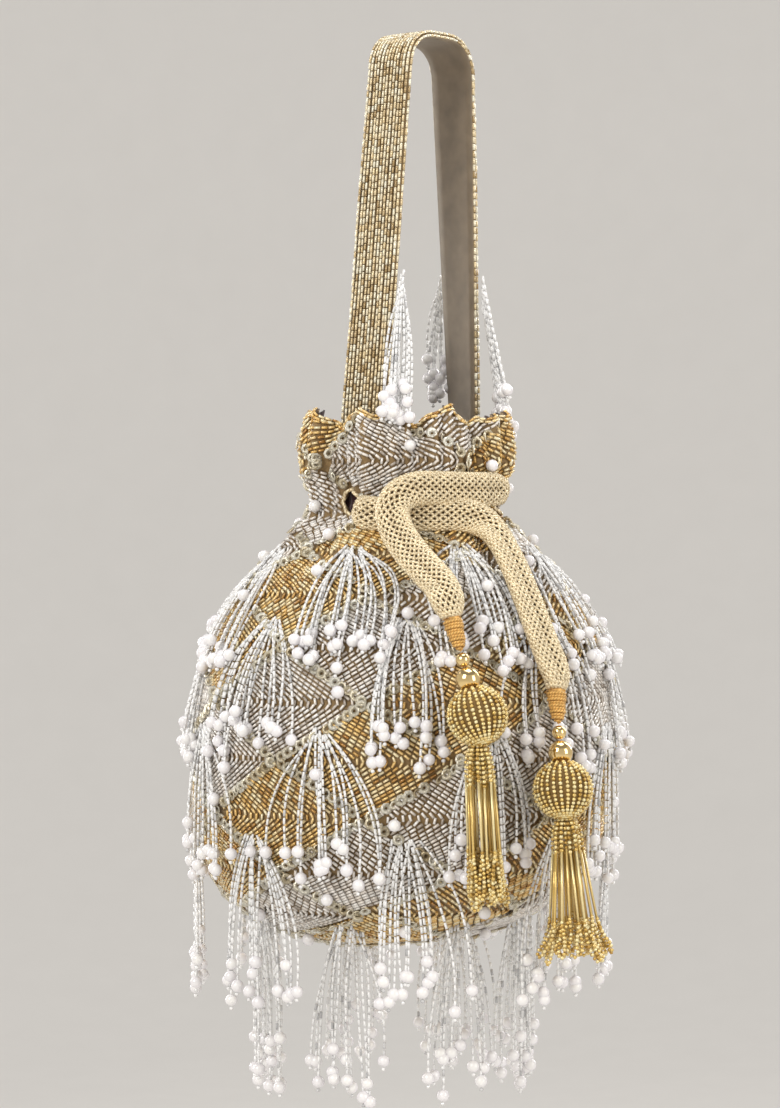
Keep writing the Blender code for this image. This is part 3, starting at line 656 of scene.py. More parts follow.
def down_at(height):
    """Walked length down the profile at a height."""
    return np.interp(-np.asarray(height, dtype=float), -HEIGHT, DOWN)


CASING_TOP_DOWN = float(down_at(CASING_TOP_Z))
CASING_BOTTOM_DOWN = float(down_at(CASING_BOTTOM_Z))
SLIT_DOWN = 0.5 * (CASING_TOP_DOWN + CASING_BOTTOM_DOWN)


def fold_height(azimuth, down):
    """How far the gathers push the wall out, with finer creases between the main folds."""
    turn = np.radians(azimuth)
    main = np.cos(FOLD_COUNT * (turn - math.radians(FOLD_PHASE)))
    fine = sum(share * np.cos(count * turn + phase + slide * down)
               for share, count, phase, slide in FINE_FOLDS)
    shoulder = np.clip((down - CASING_BOTTOM_DOWN) / CREASE_REACH, 0.0, 1.0)
    creases = CREASE_DEPTH * (1.0 - shoulder) ** 1.5 * np.cos(CREASE_COUNT * turn + 2.0 * np.sin(3.0 * turn))
    sag = SAG_DEPTH * np.sin(3.0 * turn + 40.0 * down) * np.clip((down - SAG_FROM) / 0.05, 0.0, 1.0)
    return np.interp(down, DOWN, FOLD) * (main + fine) + creases + sag


def pouch_point(azimuth, down):
    """Points of the pouch's outer face."""
    azimuth, down = np.broadcast_arrays(np.asarray(azimuth, dtype=float), np.asarray(down, dtype=float))
    ends = np.clip(np.interp(down, DOWN, RADIUS) / 0.01, 0.0, 1.0)
    radius = np.interp(down, DOWN, RADIUS) + ends * fold_height(azimuth, down)
    points = radius[..., None] * outward(azimuth)
    points[..., 0] += POUCH_AXIS_X + np.interp(down, DOWN, LEAN)
    turn = np.radians(azimuth)
    ruffle = RIM_WAVE * np.cos(FOLD_COUNT * (turn - math.radians(FOLD_PHASE)))
    ruffle = ruffle + sum(height * np.cos(count * turn + phase) for height, count, phase in FINE_RUFFLES)
    points[..., 2] = np.interp(down, DOWN, HEIGHT) + ruffle * np.clip(1.0 - down / RUFFLE_REACH, 0.0, 1.0)
    return points


def pouch_frame(azimuth, down):
    """Point, unit vector along azimuths, unit vector down the wall and outward normal."""
    azimuth, down = np.broadcast_arrays(np.asarray(azimuth, dtype=float), np.asarray(down, dtype=float))
    small_turn, small_step = 0.4, 0.0004
    low = np.clip(down - small_step, 0.0, CLOTH_LENGTH - small_step)
    along = unit(pouch_point(azimuth + small_turn, down) - pouch_point(azimuth - small_turn, down))
    falling = unit(pouch_point(azimuth, low + small_step) - pouch_point(azimuth, low))
    normal = unit(np.cross(falling, along))
    return pouch_point(azimuth, down), along, falling, normal


def ungathered_radius(height):
    """Radius of the pouch at a height, without its folds."""
    rings = profile_rings()
    return float(np.interp(-height, -rings[:, 1], rings[:, 0]))


print("cloth length from rim to bottom", round(1000 * CLOTH_LENGTH, 1), "mm")
print("normal at the front points to", np.round(pouch_frame(0.0, 0.12)[3], 2))

# %% [markdown]
# ## Drawstrings
#
# Each drawstring is a flat braid of gold lamé yarn, about 11 mm wide. It leaves the
# casing through a slit, lies along the neck, and falls over the pouch to a tassel. The
# braid is real: two sets of yarns wind opposite ways round a flat tube and pass over and
# under each other, which leaves the small dark holes that show in the photograph.

# %% Braided drawstrings
CORD_WIDTH = 0.0112
CORD_THICKNESS = 0.0046
CORD_CREASE = 0.38
BRAID_YARNS = 15
BRAID_LEAD = 0.046
YARN_RADIUS = 0.00058
YARN_OVER = 0.00022
CORD_START_SHARE = 0.50
CORD_NARROWS_FROM = 0.93
CORD_WIDENS_UNTIL = 0.09
CORD_CREASE_WIDTH = 0.0013
CORE_WIDTH_SHARE = 0.86
CORE_THICKNESS_SHARE = 0.70
WRAP_RADIUS = 0.0033
# Azimuth, distance of the middle off the ungathered wall, and drop under the casing's top
CORD_ROUTES = {
    "left": ((66.0, 0.0030, 0.0030), (60.0, 0.0056, 0.0005), (44.0, 0.0062, 0.0005),
             (28.0, 0.0075, 0.0005), (14.0, 0.0095, 0.0003), (4.0, 0.0125, 0.0007),
             (-3.0, 0.0152, 0.0035), (-5.5, 0.0172, 0.0090), (-3.5, 0.0147, 0.0155),
             (1.0, 0.0137, 0.0225), (5.5, 0.0160, 0.0290), (8.6, 0.0193, 0.0345),
             (9.7, 0.0212, 0.0398), (10.56, 0.0196, 0.0455)),
    "right": ((-31.0, -0.0040, 0.0068), (-27.0, 0.0020, 0.0076), (-20.5, 0.0072, 0.0090),
              (-11.0, 0.0080, 0.0095),
              (2.0, 0.0080, 0.0095), (16.0, 0.0080, 0.0095), (28.0, 0.0087, 0.0098),
              (36.0, 0.0092, 0.0120), (39.0, 0.0093, 0.0170), (39.0, 0.0085, 0.0260),
              (38.3, 0.0074, 0.0385), (37.8, 0.0089, 0.0525), (37.9, 0.0119, 0.0649),
              (37.4, 0.0119, 0.0707)),
}


def cord_place(azimuth, distance, drop):
    """Point of a drawstring's middle."""
    height = CASING_TOP_Z - drop
    radius = ungathered_radius(height) + distance
    return np.array((POUCH_AXIS_X, 0.0, height)) + radius * outward(azimuth)


def cord_line(side):
    """The middle line of a drawstring, evenly spaced, with its sides and faces."""
    line = catmull([cord_place(*place) for place in CORD_ROUTES[side]], 16)
    count = int(round(walked_lengths(line)[-1] / 0.001)) + 1
    points = even_points(line, count)
    tangents = unit(np.gradient(points, axis=0))
    away = points - np.array((POUCH_AXIS_X, 0.0, 0.0))
    away[:, 2] = 0.0
    sides = unit(np.cross(tangents, unit(away)))
    return points, sides, np.cross(sides, tangents)


def flat_section(turn, share):
    """Offsets of the flat tube's wall across its width and thickness, narrowed near the end."""
    near_end = np.clip((share - CORD_NARROWS_FROM) / (1.0 - CORD_NARROWS_FROM), 0.0, 1.0)
    narrow = mix(1.0, 1.7 * WRAP_RADIUS / CORD_WIDTH, near_end ** 2)
    narrow = narrow * mix(CORD_START_SHARE, 1.0, np.clip(share / CORD_WIDENS_UNTIL, 0.0, 1.0))
    thicken = mix(1.0, 1.15, near_end)
    across = 0.5 * CORD_WIDTH * narrow * np.cos(turn)
    squareness = np.sign(np.sin(turn)) * np.abs(np.sin(turn)) ** 0.7
    crease = 1.0 - CORD_CREASE * np.exp(-((across / CORD_CREASE_WIDTH) ** 2)) * (narrow > 0.9)
    return across, 0.5 * CORD_THICKNESS * thicken * squareness * crease


def braid_yarn(side_line, first_turn, direction):
    """One yarn that winds round the flat tube, over and under the others."""
    points, sides, faces = side_line
    length = walked_lengths(points)
    winding = 2.0 * np.pi / BRAID_LEAD
    turn = first_turn + direction * winding * length
    over = direction * YARN_OVER * np.cos(winding * BRAID_YARNS * length)
    across, out = flat_section(turn, length / length[-1])
    flat_normal_x = np.cos(turn) * CORD_THICKNESS
    flat_normal_y = np.sin(turn) * CORD_WIDTH
    size = np.hypot(flat_normal_x, flat_normal_y)
    across = across + over * flat_normal_x / size
    out = out + over * flat_normal_y / size
    line = points + across[:, None] * sides + out[:, None] * faces
    return tube_grid(line, YARN_RADIUS, 4, side_hint=(0.3, 1.0, 0.2))


def braid_core(side_line):
    """The inside of the braid, seen through its holes, painted dark as the shade in them."""
    points, sides, faces = side_line
    length = walked_lengths(points)
    sections = 16
    turn = 2.0 * np.pi * np.arange(sections) / sections
    across, out = flat_section(turn[None, :], (length / length[-1])[:, None])
    rows = (points[:, None] + CORE_WIDTH_SHARE * across[..., None] * sides[:, None]
            + CORE_THICKNESS_SHARE * out[..., None] * faces[:, None])
    vertices = rows.reshape(-1, 3)
    return vertices, tube_faces(len(points), sections), np.zeros((len(vertices), 2))


def lame_material(name, light, dark, metallic, ply_slant):
    """Metallic yarn: bright plies with dark lines of painted shade between them."""
    made, tree, shader = new_material(name, 0.36, metallic)
    plies = use_group(tree, PLIES, (-300, 0), Plies=2.0, Slant=ply_slant)
    patches = noise(tree, (-500, 300), 420.0, 3.0)
    body = mix_colours(tree, (0, 200), plies.outputs["Shadow"], dark, light)
    worn = mix_colours(tree, (200, 200), patches, (0.62, 0.60, 0.56, 1.0), (1.3, 1.3, 1.3, 1.0))
    colour = mix_colours(tree, (400, 200), 1.0, body, worn, "MULTIPLY")
    tree.links.new(colour, shader.inputs["Base Color"])
    add_bump(tree, shader, plies.outputs["Height"], 0.6, 0.0002)
    return made


def core_material():
    """Gold thread inside the braid, painted very dark as the shade within it."""
    made, tree, shader = new_material("braid_inside", 0.75, 0.1)
    colour = mix_colours(tree, (0, 0), noise(tree, (-300, 0), 1500.0),
                         (0.030, 0.016, 0.006, 1.0), (0.16, 0.09, 0.035, 1.0))
    tree.links.new(colour, shader.inputs["Base Color"])
    return made


BRAID_YARN = lame_material("lame_yarn", (1.0, 0.88, 0.63, 1.0), (0.45, 0.29, 0.11, 1.0), 0.35, 1.4)
BRAID_INSIDE = core_material()


def make_cord(side):
    """One drawstring: its yarns and its dark inside, as one piece."""
    line = cord_line(side)
    grids = [braid_core(line)]
    core_faces = len(grids[0][1])
    for direction in (1.0, -1.0):
        for yarn in range(BRAID_YARNS):
            grids.append(braid_yarn(line, 2.0 * np.pi * yarn / BRAID_YARNS, direction))
    vertices, faces, uvs = join_grids(grids)
    made = mesh_object("drawstring_braid_" + side, vertices, faces, BRAID_YARN)
    set_uv(made, "yarn", uvs)
    made.data.materials.append(BRAID_INSIDE)
    indices = np.zeros(len(faces), dtype=np.int32)
    indices[:core_faces] = 1
    made.data.polygons.foreach_set("material_index", indices)
    face_outwards(made)
    return made, line[0]


CORDS = {side: make_cord(side) for side in CORD_ROUTES}
for side, (piece, line) in CORDS.items():
    print(piece.name, round(1000 * walked_lengths(line)[-1], 1), "mm long,", triangles(piece), "triangles")

# %% [markdown]
# ## Beads from rows
#
# Thousands of beads are sewn in rows. The script draws only the rows. A Geometry Nodes
# tree sets points along each row at the bead's pitch, puts a bead on each point, turned
# along the thread and standing on the cloth, and gives it a random number of its own.
# A second tree puts one bead on each single point, for pearls and sequins.

# %% Geometry Nodes trees


def new_bead_tree(name, with_pitch):
    """An empty bead tree with its named inputs."""
    tree = bpy.data.node_groups.new(name, "GeometryNodeTree")
    tree.interface.new_socket("Geometry", in_out="INPUT", socket_type="NodeSocketGeometry")
    if with_pitch:
        tree.interface.new_socket("Pitch", in_out="INPUT", socket_type="NodeSocketFloat")
    tree.interface.new_socket("Bead", in_out="INPUT", socket_type="NodeSocketObject")
    tree.interface.new_socket("Roll", in_out="INPUT", socket_type="NodeSocketFloat")
    tree.interface.new_socket("Size Change", in_out="INPUT", socket_type="NodeSocketFloat")
    tree.interface.new_socket("Seed", in_out="INPUT", socket_type="NodeSocketInt")
    tree.interface.new_socket("Material", in_out="INPUT", socket_type="NodeSocketMaterial")
    tree.interface.new_socket("Geometry", in_out="OUTPUT", socket_type="NodeSocketGeometry")
    return tree, add_node(tree, "NodeGroupInput", (-900, 0)), add_node(tree, "NodeGroupOutput", (1300, 0))


def named_vector(tree, name, place):
    """A vector stored on the points."""
    node = add_node(tree, "GeometryNodeInputNamedAttribute", place, data_type="FLOAT_VECTOR")
    node.inputs["Name"].default_value = name
    return node.outputs["Attribute"]


def random_between(tree, place, low, high, seed_socket, offset):
    """A random number for each point. low and high are sockets or numbers."""
    seed = add_node(tree, "ShaderNodeMath", (place[0] - 180, place[1]), operation="ADD")
    seed.inputs[1].default_value = offset
    tree.links.new(seed_socket, seed.inputs[0])
    node = add_node(tree, "FunctionNodeRandomValue", place, data_type="FLOAT")
    for index, value in ((2, low), (3, high)):
        if isinstance(value, (int, float)):
            node.inputs[index].default_value = value
        else:
            tree.links.new(value, node.inputs[index])
    tree.links.new(seed.outputs[0], node.inputs["Seed"])
    return node.outputs[1]


def place_beads(tree, start, end, points, along):
    """Instance beads on points: local Z along the thread and local X away from the cloth."""
    links = tree.links
    lie = add_node(tree, "FunctionNodeAlignRotationToVector", (-100, -200), axis="Z")
    links.new(along, lie.inputs["Vector"])
    stand = add_node(tree, "FunctionNodeAlignRotationToVector", (100, -200), axis="X", pivot_axis="Z")
    links.new(lie.outputs[0], stand.inputs["Rotation"])
    links.new(named_vector(tree, "wall_normal", (-100, -400)), stand.inputs["Vector"])
    less = add_node(tree, "ShaderNodeMath", (-100, -600), operation="MULTIPLY")
    less.inputs[1].default_value = -1.0
    links.new(start.outputs["Roll"], less.inputs[0])
    roll = start.outputs["Roll"]
    turn = random_between(tree, (100, -600), less.outputs[0], roll, start.outputs["Seed"], 11)
    spin = add_node(tree, "ShaderNodeCombineXYZ", (260, -600))
    links.new(turn, spin.inputs["Z"])
    rolled = add_node(tree, "FunctionNodeRotateRotation", (300, -200), rotation_space="LOCAL")
    links.new(stand.outputs[0], rolled.inputs["Rotation"])
    links.new(spin.outputs[0], rolled.inputs["Rotate By"])
    smaller = add_node(tree, "ShaderNodeMath", (-100, -800), operation="SUBTRACT")
    smaller.inputs[0].default_value = 1.0
    links.new(start.outputs["Size Change"], smaller.inputs[1])
    size = random_between(tree, (100, -800), smaller.outputs[0], 1.0, start.outputs["Seed"], 23)
    bead = add_node(tree, "GeometryNodeObjectInfo", (300, 200), transform_space="ORIGINAL")
    links.new(start.outputs["Bead"], bead.inputs["Object"])
    instances = add_node(tree, "GeometryNodeInstanceOnPoints", (500, 0))
    links.new(points, instances.inputs["Points"])
    links.new(bead.outputs["Geometry"], instances.inputs["Instance"])
    links.new(rolled.outputs[0], instances.inputs["Rotation"])
    links.new(size, instances.inputs["Scale"])
    own = add_node(tree, "GeometryNodeStoreNamedAttribute", (700, 0), data_type="FLOAT", domain="INSTANCE")
    own.inputs["Name"].default_value = "bead_random"
    links.new(instances.outputs[0], own.inputs["Geometry"])
    number = random_between(tree, (500, -400), 0.0, 1.0, start.outputs["Seed"], 37)
    links.new(number, own.inputs["Value"])
    real = add_node(tree, "GeometryNodeRealizeInstances", (900, 0))
    links.new(own.outputs[0], real.inputs[0])
    finish = add_node(tree, "GeometryNodeSetMaterial", (1100, 0))
    links.new(real.outputs[0], finish.inputs["Geometry"])
    links.new(start.outputs["Material"], finish.inputs["Material"])
    links.new(finish.outputs[0], end.inputs[0])


def row_tree():
    """Beads at a pitch along drawn rows."""
    tree, start, end = new_bead_tree("beads_on_rows", True)
    rows = add_node(tree, "GeometryNodeMeshToCurve", (-700, 0))
    tree.links.new(start.outputs["Geometry"], rows.inputs[0])
    spaced = add_node(tree, "GeometryNodeResampleCurve", (-500, 0), mode="LENGTH")
    tree.links.new(rows.outputs[0], spaced.inputs["Curve"])
    tree.links.new(start.outputs["Pitch"], spaced.inputs["Length"])
    tangent = add_node(tree, "GeometryNodeInputTangent", (-300, -200))
    place_beads(tree, start, end, spaced.outputs[0], tangent.outputs[0])
    return tree


def point_tree():
    """One bead on each drawn point."""
    tree, start, end = new_bead_tree("beads_on_points", False)
    place_beads(tree, start, end, start.outputs["Geometry"], named_vector(tree, "along", (-300, -200)))
    return tree


ROW_TREE = row_tree()
POINT_TREE = point_tree()


def bake(made, modifier):
    """Keep only the plain mesh that a modifier makes."""
    graph = bpy.context.evaluated_depsgraph_get()
    mesh = bpy.data.meshes.new_from_object(made.evaluated_get(graph), depsgraph=graph)
    made.modifiers.remove(modifier)
    made.data = mesh
    mesh.name = made.name
    return made


def grow(made, tree, **values):
    """Run a bead tree on an object, then keep only the plain mesh that it makes."""
    modifier = made.modifiers.new("beads", "NODES")
    modifier.node_group = tree
    wanted = {label.replace("_", " "): value for label, value in values.items()}
    for socket in tree.interface.items_tree:
        if getattr(socket, "in_out", "") == "INPUT" and socket.name in wanted:
            modifier[socket.identifier] = wanted[socket.name]
    made.update_tag()
    return bake(made, modifier)


def point_vectors(mesh, name, values):
    """Store a vector for each vertex."""
    layer = mesh.attributes.new(name, "FLOAT_VECTOR", "POINT")
    layer.data.foreach_set("vector", np.asarray(values, dtype=np.float32).ravel())


def rows_object(name, rows):
    """Rows as edge chains. Each row is (points, normals)."""
    points = np.vstack([row[0] for row in rows])
    normals = np.vstack([row[1] for row in rows])
    edges, start = [], 0
    for line, _ in rows:
        edges.extend((start + step, start + step + 1) for step in range(len(line) - 1))
        start += len(line)
    mesh = bpy.data.meshes.new(name)
    mesh.from_pydata(points.tolist(), edges, [])
    point_vectors(mesh, "wall_normal", normals)
    return object_of(name, mesh)


def points_object(name, points, along, normals):
    """Single points, each with the way its bead's hole and its face look."""
    mesh = bpy.data.meshes.new(name)
    mesh.from_pydata(np.asarray(points).tolist(), [], [])
    point_vectors(mesh, "along", along)
    point_vectors(mesh, "wall_normal", normals)
    return object_of(name, mesh)


print("trees", ROW_TREE.name, POINT_TREE.name)

# %% [markdown]
# ## One bead of each kind
#
# A bugle bead is a short glass tube, so it is a prism with a few sides. A seed bead is a
# small round, a costume pearl is a smooth ball 5 mm across, and a sequin is a shallow
# cup with a hole. They have few faces, because each is repeated hundreds of times.

# %% Bead patterns


def pattern_object(name, shape):
    """A small mesh to repeat. It is removed when everything is sewn on."""
    mesh = bpy.data.meshes.new(name)
    bmesh.ops.recalc_face_normals(shape, faces=shape.faces)
    shape.to_mesh(mesh)
    shape.free()
    return object_of(name, mesh)


def bugle_pattern(name, length, radius, sides):
    """A closed prism along Z with smooth sides and flat ends."""
    shape = bmesh.new()
    bmesh.ops.create_cone(shape, cap_ends=True, segments=sides, radius1=radius, radius2=radius, depth=length)
    for face in shape.faces:
        face.smooth = abs(face.normal.z) < 0.5
    return pattern_object(name, shape)


def round_pattern(name, radius, around, rows, squash):
    """A round bead whose hole runs along Z."""
    shape = bmesh.new()
    bmesh.ops.create_uvsphere(shape, u_segments=around, v_segments=rows, radius=radius)
    bmesh.ops.scale(shape, vec=(1.0, 1.0, squash), verts=shape.verts)
    for face in shape.faces:
        face.smooth = True
    return pattern_object(name, shape)


def sequin_pattern(name, radius, hole, cup):
    """A shallow cup with a hole, facing X, thin but closed."""
    shape = bmesh.new()
    sides = 7
    rings = ((radius, cup), (hole, 0.30 * cup), (0.62 * radius, 0.0))
    loops = []
    for size, rise in rings:
        loop = []
        for step in range(sides):
            turn = 2.0 * math.pi * step / sides
            loop.append(shape.verts.new((rise, size * math.cos(turn), size * math.sin(turn))))
        loops.append(loop)
    for before, after in zip(loops, loops[1:] + loops[:1]):
        for step in range(sides):
            right = (step + 1) % sides
            shape.faces.new((before[step], before[right], after[right], after[step])).smooth = True
    return pattern_object(name, shape)


BUGLE_LENGTH = 0.0024
BUGLE_RADIUS = 0.00056
PEARL_RADIUS = 0.0024
SEQUIN_RADIUS = 0.0022
SEQUIN_HOLE = 0.00055
SEQUIN_CUP = 0.0007
STRAND_BUGLE_LENGTH = 0.00235
STRAND_BUGLE_RADIUS = 0.00052
LONG_BUGLE_LENGTH = 0.0250
LONG_BUGLE_RADIUS = 0.00048
SEED_RADIUS = 0.00085
PATTERNS = {
    "bugle": bugle_pattern("pattern_bugle", BUGLE_LENGTH, BUGLE_RADIUS, 5),
    "strand_bugle": bugle_pattern("pattern_strand_bugle", STRAND_BUGLE_LENGTH, STRAND_BUGLE_RADIUS, 5),
    "long_bugle": bugle_pattern("pattern_long_bugle", LONG_BUGLE_LENGTH, LONG_BUGLE_RADIUS, 6),
    "seed": round_pattern("pattern_seed", SEED_RADIUS, 5, 4, 0.85),
    "pearl": round_pattern("pattern_pearl", PEARL_RADIUS, 10, 6, 0.97),
    "sequin": sequin_pattern("pattern_sequin", SEQUIN_RADIUS, SEQUIN_HOLE, SEQUIN_CUP),
}
for name, pattern in PATTERNS.items():
    print(name, triangles(pattern), "triangles")

# %% [markdown]
# ## Bead finishes
#
# Clear beads are lined with silver, so they look white, with grey edges that are painted
# shade. Gold beads run from deep amber to pale champagne, partly in their own tone and partly
# in painted shade and glints. Pearls are coated, with a faint lilac edge that is a painted sheen.

# %% Bead materials


def bead_material(name, dark, middle, light, roughness, metallic, dark_share=0.35, edge=0.55, coat=0.5):
    """A glass bead: its own random tone with painted shade and glints, painted shade towards its outline, and
    a clear coat.
    """
    made, tree, shader = new_material(name, roughness, metallic)
    colours = use_group(tree, BEAD_COLOURS, (-500, 0), Dark=dark, Middle=middle, Light=light,
                        Dark_Share=dark_share, Roughness=roughness)
    # Painted shade: the colour darkens by the share edge where the surface turns away from the camera.
    facing = add_node(tree, "ShaderNodeLayerWeight", (-500, -300))
    facing.inputs["Blend"].default_value = 0.35
    shaded = mix_colours(tree, (-100, 0), facing.outputs["Facing"], (1.0, 1.0, 1.0, 1.0),
                         (1.0 - edge, 1.0 - edge, 1.0 - edge, 1.0))
    colour = mix_colours(tree, (200, 0), 1.0, colours.outputs["Color"], shaded, "MULTIPLY")
    tree.links.new(colour, shader.inputs["Base Color"])
    tree.links.new(colours.outputs["Roughness"], shader.inputs["Roughness"])
    shader.inputs["Coat Weight"].default_value = coat
    shader.inputs["Coat Roughness"].default_value = 0.08
    return made


def pearl_material():
    """White coated pearl with a painted lilac sheen and painted shade towards its edge, and a slightly uneven
    skin.
    """
    made, tree, shader = new_material("pearl", 0.22)
    own = add_node(tree, "ShaderNodeAttribute", (-700, 200), attribute_name="bead_random")
    tint = mix_colours(tree, (-300, 200), own.outputs["Fac"],
                       (0.92, 0.90, 0.92, 1.0), (0.98, 0.97, 0.95, 1.0))
    # Painted sheen and shade: towards the outline the colour turns a darker lilac.
    facing = add_node(tree, "ShaderNodeLayerWeight", (-700, -100))
    facing.inputs["Blend"].default_value = 0.4
    colour = mix_colours(tree, (0, 100), facing.outputs["Facing"], tint, (0.78, 0.75, 0.81, 1.0))
    tree.links.new(colour, shader.inputs["Base Color"])
    add_bump(tree, shader, noise(tree, (-300, -300), 900.0), 0.12, 0.0002)
    shader.inputs["Coat Weight"].default_value = 0.8
    shader.inputs["Coat Roughness"].default_value = 0.12
    shader.inputs["Sheen Weight"].default_value = 0.2
    return made


CLEAR_BEADS = bead_material("clear_bead_glass", (0.52, 0.52, 0.53, 1.0), (0.93, 0.93, 0.93, 1.0),
                            (1.0, 1.0, 1.0, 1.0), 0.14, 0.0, 0.18, 0.28)
SILVER_BEADS = bead_material("silver_bead_glass", (0.42, 0.36, 0.30, 1.0), (0.90, 0.83, 0.75, 1.0),
                             (1.0, 0.98, 0.95, 1.0), 0.16, 0.08, 0.26, 0.34)
GOLD_BEADS = bead_material("gold_bead_glass", (0.42, 0.20, 0.04, 1.0), (0.94, 0.62, 0.21, 1.0),
                           (1.0, 0.91, 0.62, 1.0), 0.16, 0.25, 0.30, 0.36)
STRAP_BEADS = bead_material("strap_bead_glass", (0.44, 0.30, 0.13, 1.0), (0.92, 0.74, 0.44, 1.0),
                            (1.0, 0.95, 0.76, 1.0), 0.16, 0.22, 0.26, 0.36)
TASSEL_BEADS = bead_material("tassel_bead_glass", (0.50, 0.29, 0.05, 1.0), (0.90, 0.64, 0.20, 1.0),
                             (1.0, 0.89, 0.52, 1.0), 0.14, 0.45, 0.30, 0.38)
SEQUINS = bead_material("sequin_foil", (0.62, 0.50, 0.30, 1.0), (0.96, 0.87, 0.66, 1.0),
                        (1.0, 0.97, 0.86, 1.0), 0.20, 0.40, 0.22, 0.15, 0.4)
PEARL = pearl_material()
print("bead materials", [m.name for m in (CLEAR_BEADS, SILVER_BEADS, GOLD_BEADS, STRAP_BEADS, TASSEL_BEADS)])

# %% [markdown]
# ## Cloth of the pouch
#
# The ground is a dark tissue cloth with a gold weft. It shows only between the beads
# and inside the rim, but it carries the gathers: eight main folds at the neck with finer
# creases between them, which die out down the shoulder. Two small slits in the casing
# let the drawstrings out, and the maroon lining shows through the one on the left.

# %% Pouch cloth and lining
CLOTH_THICKNESS = 0.0010
LINING_DEPTH = 0.0024
LINING_THICKNESS = 0.0006
LINING_ROWS_SHARE = 0.36
SLIT_PULL_REACH = 0.006
RUFFLE_COLUMNS = 180
CLOTH_ROWS_ABOVE = 18
CLOTH_ROWS_BELOW = 62


def slit_opening(azimuth, down):
    """How far the cloth moves at a point when the slits are pulled open."""
    shift = np.zeros(np.broadcast(azimuth, down).shape)
    for middle in SLIT_AZIMUTHS:
        across = np.abs(wrapped(azimuth - middle)) / SLIT_HALF_WIDTH
        opening = SLIT_HALF_HEIGHT * np.cos(0.5 * np.pi * np.clip(across, 0.0, 1.0))
        shift = shift + opening * np.exp(-(((down - SLIT_DOWN) / SLIT_PULL_REACH) ** 2))
    return shift


def in_slit(azimuth, margin=0.0):
    """Whether azimuths are inside a slit's width."""
    found = np.zeros(np.shape(azimuth), dtype=bool)
    for middle in SLIT_AZIMUTHS:
        found |= np.abs(wrapped(azimuth - middle)) < SLIT_HALF_WIDTH + margin
    return found


def cloth_block(downs, sign):
    """Points of the rows above or below the slits, pulled open by sign."""
    azimuths = np.arange(RUFFLE_COLUMNS) * 360.0 / RUFFLE_COLUMNS - 180.0
    grid_azimuth, grid_down = np.meshgrid(azimuths, downs)
    moved = grid_down + sign * slit_opening(grid_azimuth, grid_down)
    return pouch_point(grid_azimuth, moved), azimuths


def pouch_cloth(name, material, slits, depth, thickness, rows=1.0):
    """The cup of cloth as one sheet with thickness, with its slits open."""
    above = np.linspace(0.0, SLIT_DOWN, int(CLOTH_ROWS_ABOVE * rows))
    below = np.linspace(SLIT_DOWN, CLOTH_LENGTH - 0.0015, int(CLOTH_ROWS_BELOW * rows))
    upper, azimuths = cloth_block(above, -1.0 if slits else 0.0)
    lower, _ = cloth_block(below, 1.0 if slits else 0.0)
    columns = RUFFLE_COLUMNS
    points = np.vstack([upper.reshape(-1, 3), lower.reshape(-1, 3)])
    first_lower = len(above) * columns
    open_columns = in_slit(azimuths, -0.01) if slits else np.zeros(columns, dtype=bool)

    def index(block, row, column):
        column %= columns
        if block and (row or open_columns[column]):
            return first_lower + row * columns + column
        if block:
            return (len(above) - 1) * columns + column
        return row * columns + column

    faces, corners_uv = [], []
    column_width = BODY_RADIUS * 2.0 * math.pi / columns
    bottom = len(points)
    points = np.vstack([points, pouch_point(0.0, CLOTH_LENGTH)[None]])
    for block, downs in ((0, above), (1, below)):
        for row in range(len(downs) - 1):
            for column in range(columns):
                faces.append((index(block, row, column), index(block, row, column + 1),
                              index(block, row + 1, column + 1), index(block, row + 1, column)))
                left, right = column * column_width, (column + 1) * column_width
                corners_uv.extend(((left, downs[row]), (right, downs[row]),
                                   (right, downs[row + 1]), (left, downs[row + 1])))
    for column in range(columns):
        faces.append((index(1, len(below) - 1, column), index(1, len(below) - 1, column + 1), bottom))
        place = column * column_width
        corners_uv.extend(((place, below[-1]), (place + 0.001, below[-1]), (place, CLOTH_LENGTH)))
    made = mesh_object(name, points, faces, material)
    layer = made.data.uv_layers.new(name="cloth")
    layer.data.foreach_set("uv", np.asarray(corners_uv, dtype=np.float32).ravel())
    drop_loose_points(made)
    thicken(made, depth, thickness)
    return made


def drop_loose_points(made):
    """Remove points that no face uses."""
    shape = bmesh.new()
    shape.from_mesh(made.data)
    loose = [vertex for vertex in shape.verts if not vertex.link_faces]
    bmesh.ops.delete(shape, geom=loose, context="VERTS")
    bmesh.ops.recalc_face_normals(shape, faces=shape.faces)
    middle = Vector((POUCH_AXIS_X, 0.0, BELLY_Z))
    outer = max(shape.faces, key=lambda face: (face.calc_center_median() - middle).length)
    if outer.normal.dot(outer.calc_center_median() - middle) < 0.0:
        bmesh.ops.reverse_faces(shape, faces=shape.faces)
    shape.to_mesh(made.data)
    shape.free()


def thicken(made, depth, thickness):
    """Move a sheet in by a depth along its normals and give it a thickness inwards."""
    if depth > 0.0:
        count = len(made.data.vertices)
        places, normals = np.empty(3 * count), np.empty(3 * count)
        made.data.vertices.foreach_get("co", places)
        made.data.vertices.foreach_get("normal", normals)
        made.data.vertices.foreach_set("co", places - depth * normals)
        made.data.update()
    solid = made.modifiers.new("thickness", "SOLIDIFY")
    solid.thickness = thickness
    solid.offset = -1.0
    bake(made, solid)


